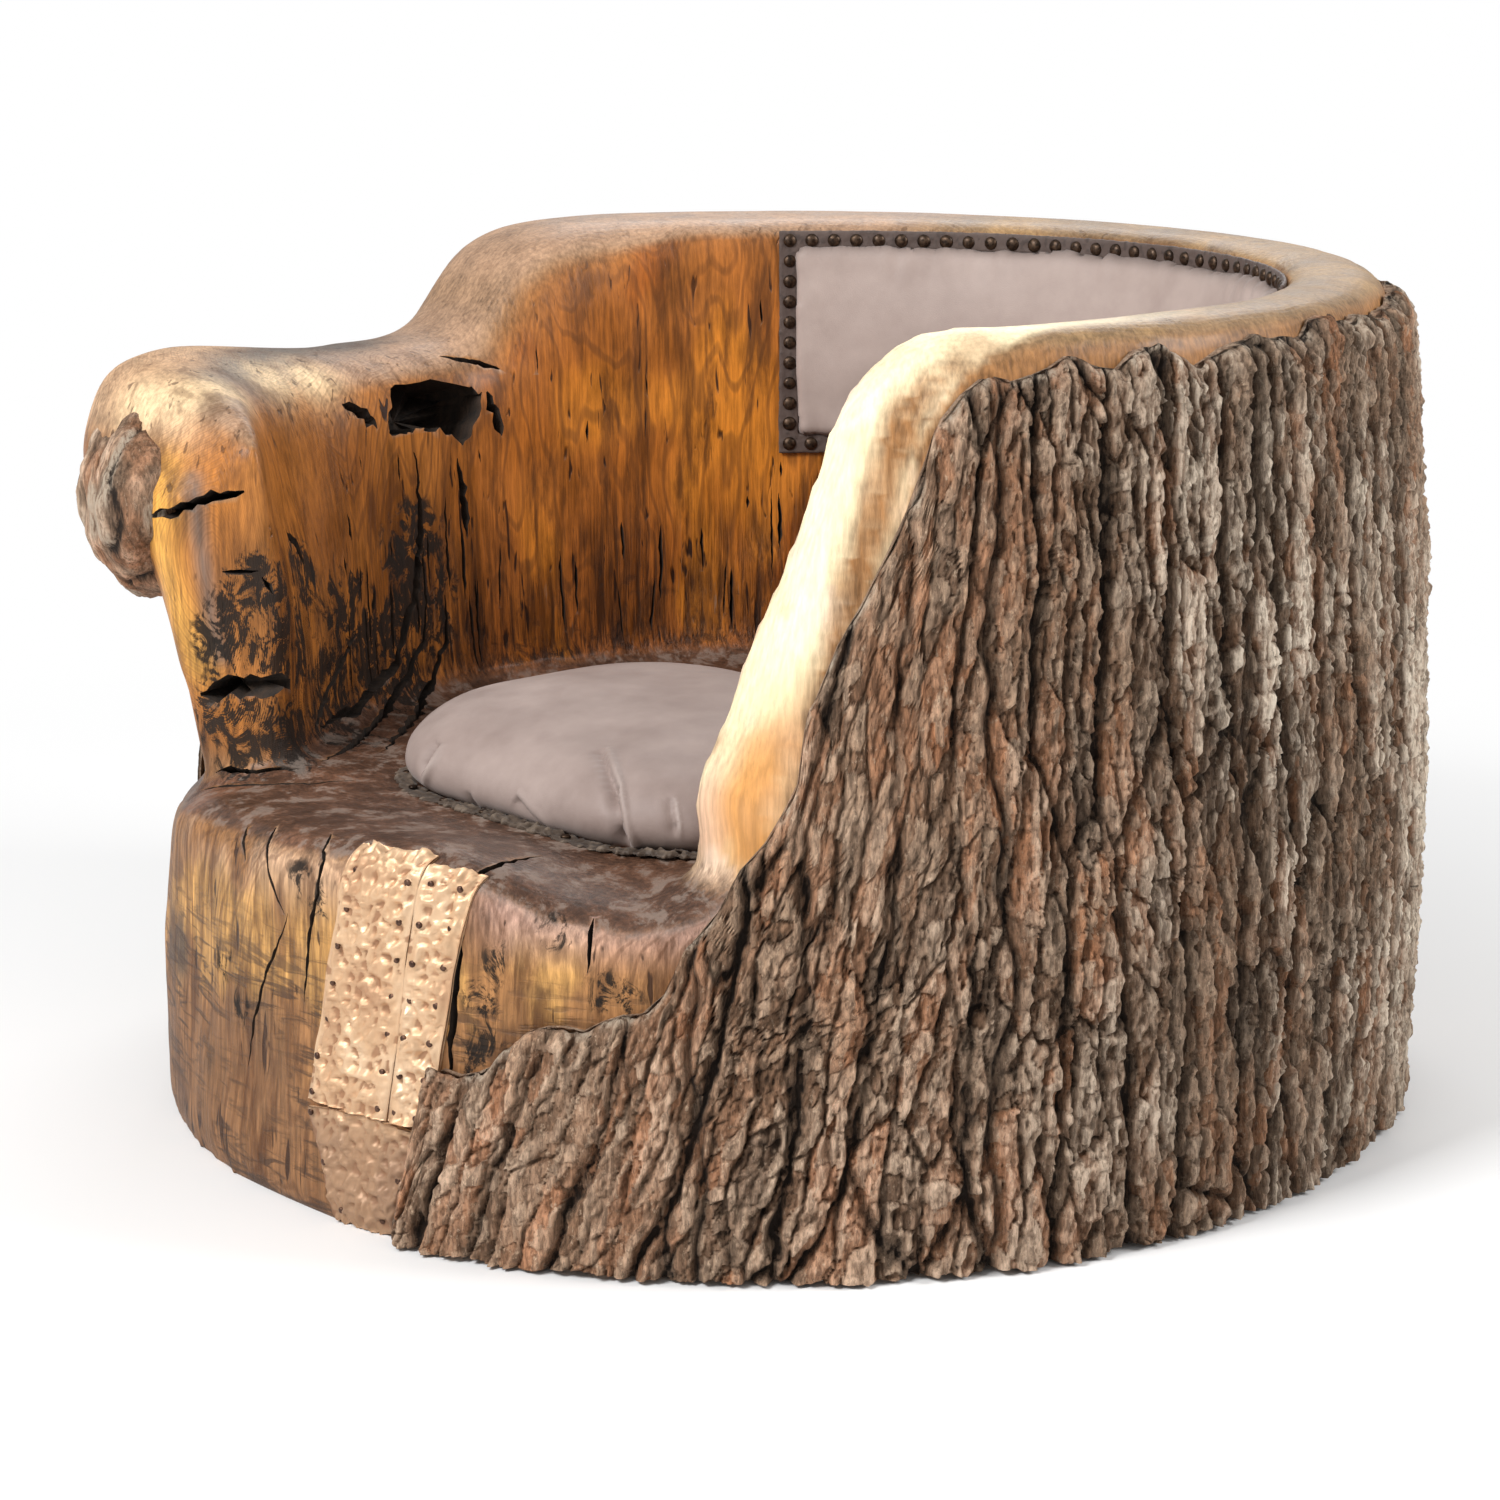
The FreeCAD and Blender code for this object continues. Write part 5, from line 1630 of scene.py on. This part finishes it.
def back_pad():
    """The back pad: taut leather over padding, puckered towards its nails."""
    mesh, points, normals = softened("pad", "back_filling", PAD_VOXEL, PAD_ROUNDS, drawn_out)
    x, y, z = points.T
    low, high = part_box("back_cover")
    rim = np.minimum(z - low.z, high.z - z)
    turn = np.arctan2(x - HOLLOW_CENTRE[0], y - HOLLOW_CENTRE[1])
    pucker = PUCKER_DEPTH * bump(rim, 0.022) * noise(87, turn * 38, np.zeros(len(points)))
    end = ramp(turn, *PAD_END)
    folds = FOLD_DEPTH * end * np.sin(z * 260 + turn * 60) * bump(high.z - z, 0.08)
    swell = PAD_SWELL + 0.003 * bump(rim, 0.02) + 0.002 * layered_noise(89, 2, turn * 5, z * 9)
    move_points(mesh, points + normals * (swell + pucker + folds)[:, None])
    # Painted shade along the pad's edges under the border and in the folds at its far end
    paint(mesh, crease=np.clip(0.8 * bump(rim, 0.006) + end * 0.3 * bump(high.z - z, 0.05), 0, 1))
    piece = new_piece("back_pad", mesh, PAD_LEATHER, "leather", "back_cover", "back_filling")


def soft_band(name, node, material, slot, voxel, fray, pressed=0.0):
    """A strip of leather with rounded edges, swollen, frayed a little and pressed flat in places."""
    mesh, points, normals = softened(name, node, voxel, BAND_ROUNDS)
    x, y, z = points.T
    ragged = layered_noise(91, 3, x * 190, y * 190, z * 190)
    points = points + normals * (BAND_SWELL + fray * ragged)[:, None]
    standing = 1 - pressed * ramp(layered_noise(93, 2, x * 30, y * 30), 0.4, -0.3)
    points[:, 2] = SEAT_LEVEL + np.maximum(points[:, 2] - SEAT_LEVEL, 0) * standing
    move_points(mesh, points)
    paint(mesh, crease=ramp(ragged, 0.2, 0.8) * 0.7)
    new_piece(name, mesh, material, slot, node)


# Stage
FLOOR_HALF = 12.0
FLOOR_GREY = rgb(0.86, 0.86, 0.86)
# Distances from the chair between which the floor fades into the background
FLOOR_FADE = (0.75, 2.2)
WORLD_LIGHT = 0.42
LAMP_TARGET = (0.0, 0.0, 0.45)
# Each lamp's name, place, size and power
LAMPS = (
    ("key", (0.2, -3.5, 3.2), 1.5, 190),
    ("side", (3.2, 2.4, 2.6), 1.4, 120),
    ("back", (-2.4, 3.0, 3.2), 2.6, 60),
)


def add_floor():
    """A pale floor that fades into the white of the background."""
    shader = Shader("floor")
    shader.set(Base_Color=FLOOR_GREY, Roughness=0.9)
    distance = shader.value("ShaderNodeVectorMath", "Value", {0: shader.place()}, operation="LENGTH")
    shown = shader.math("MAXIMUM", shader.ray("Is Camera Ray"), shader.ray("Is Glossy Ray"))
    white = shader.value("ShaderNodeEmission", 0, {"Color": WHITE, "Strength": 1.0})
    pale = Value(shader, shader.surface.outputs[0])
    mixed = shader.value("ShaderNodeMixShader", 0, {0: distance.span(*FLOOR_FADE) * shown, 1: pale, 2: white})
    shader.feed(shader.tree.nodes["Material Output"].inputs["Surface"], mixed)
    mesh = bpy.data.meshes.new("floor")
    corners = [(x * FLOOR_HALF, y * FLOOR_HALF, 0) for x, y in ((-1, -1), (1, -1), (1, 1), (-1, 1))]
    mesh.from_pydata(corners, [], [(0, 1, 2, 3)])
    mesh.materials.append(shader.owner)
    add_object("floor", mesh)


def add_world():
    """Even white light, with a white background behind the chair."""
    shader = Shader("studio", bpy.data.worlds, "Background")
    shown = shader.math("MAXIMUM", shader.ray("Is Camera Ray"), shader.ray("Is Transmission Ray"))
    strength = shader.value("ShaderNodeMapRange", "Result",
                            {"Value": shown, "To Min": WORLD_LIGHT, "To Max": 1.0})
    shader.set(Color=WHITE, Strength=strength)
    bpy.context.scene.world = shader.owner


def add_lamp(name, place, size, power):
    """A soft square lamp that points at the chair."""
    data = bpy.data.lights.new(name, "AREA")
    data.shape = "SQUARE"
    data.size = size
    data.energy = power
    lamp = add_object(name, data)
    lamp.location = place
    lamp.rotation_euler = (Vector(LAMP_TARGET) - Vector(place)).to_track_quat("-Z", "Y").to_euler()


add_camera()
add_world()
add_floor()
for lamp in LAMPS:
    add_lamp(*lamp)

bpy.context.scene.view_settings.view_transform = "Standard"

trunk_tree = dressed_trunk()
log_factors = log_radius_fit(solid_tree("trunk"))
for bark_node in BARK_NODES:
    bark_slab(bark_node, log_factors)
dressed_burl()

sheets = [copper_sheet(trunk_tree, *sheet) for sheet in zip(COPPER_NODES, COPPER_SEEDS)]
sheet_tree = mesh_tree(*[sheet.data for sheet in sheets])
for copper_node in COPPER_NODES:
    nail_heads(f"{copper_node}_nail_heads", f"{copper_node}_nails", COPPER_HEADS, "copper_nails", rise=0.5,
               tree=sheet_tree)

seat_cushion()
back_pad()
# The border band's dark leather is painted shade
soft_band("back_band", "back_border", SHADED_BAND, "border_leather", voxel=0.0016, fray=0.0004)
soft_band("seat_raw_edge", "seat_edging", RAW_EDGE, "raw_leather", voxel=0.0013, fray=0.0030, pressed=0.65)
nail_heads("back_nail_heads", "back_nails", BRONZE, "bronze", rise=0.62)
nail_heads("seat_tack_heads", "seat_tacks", BRONZE, "bronze", rise=0.4)
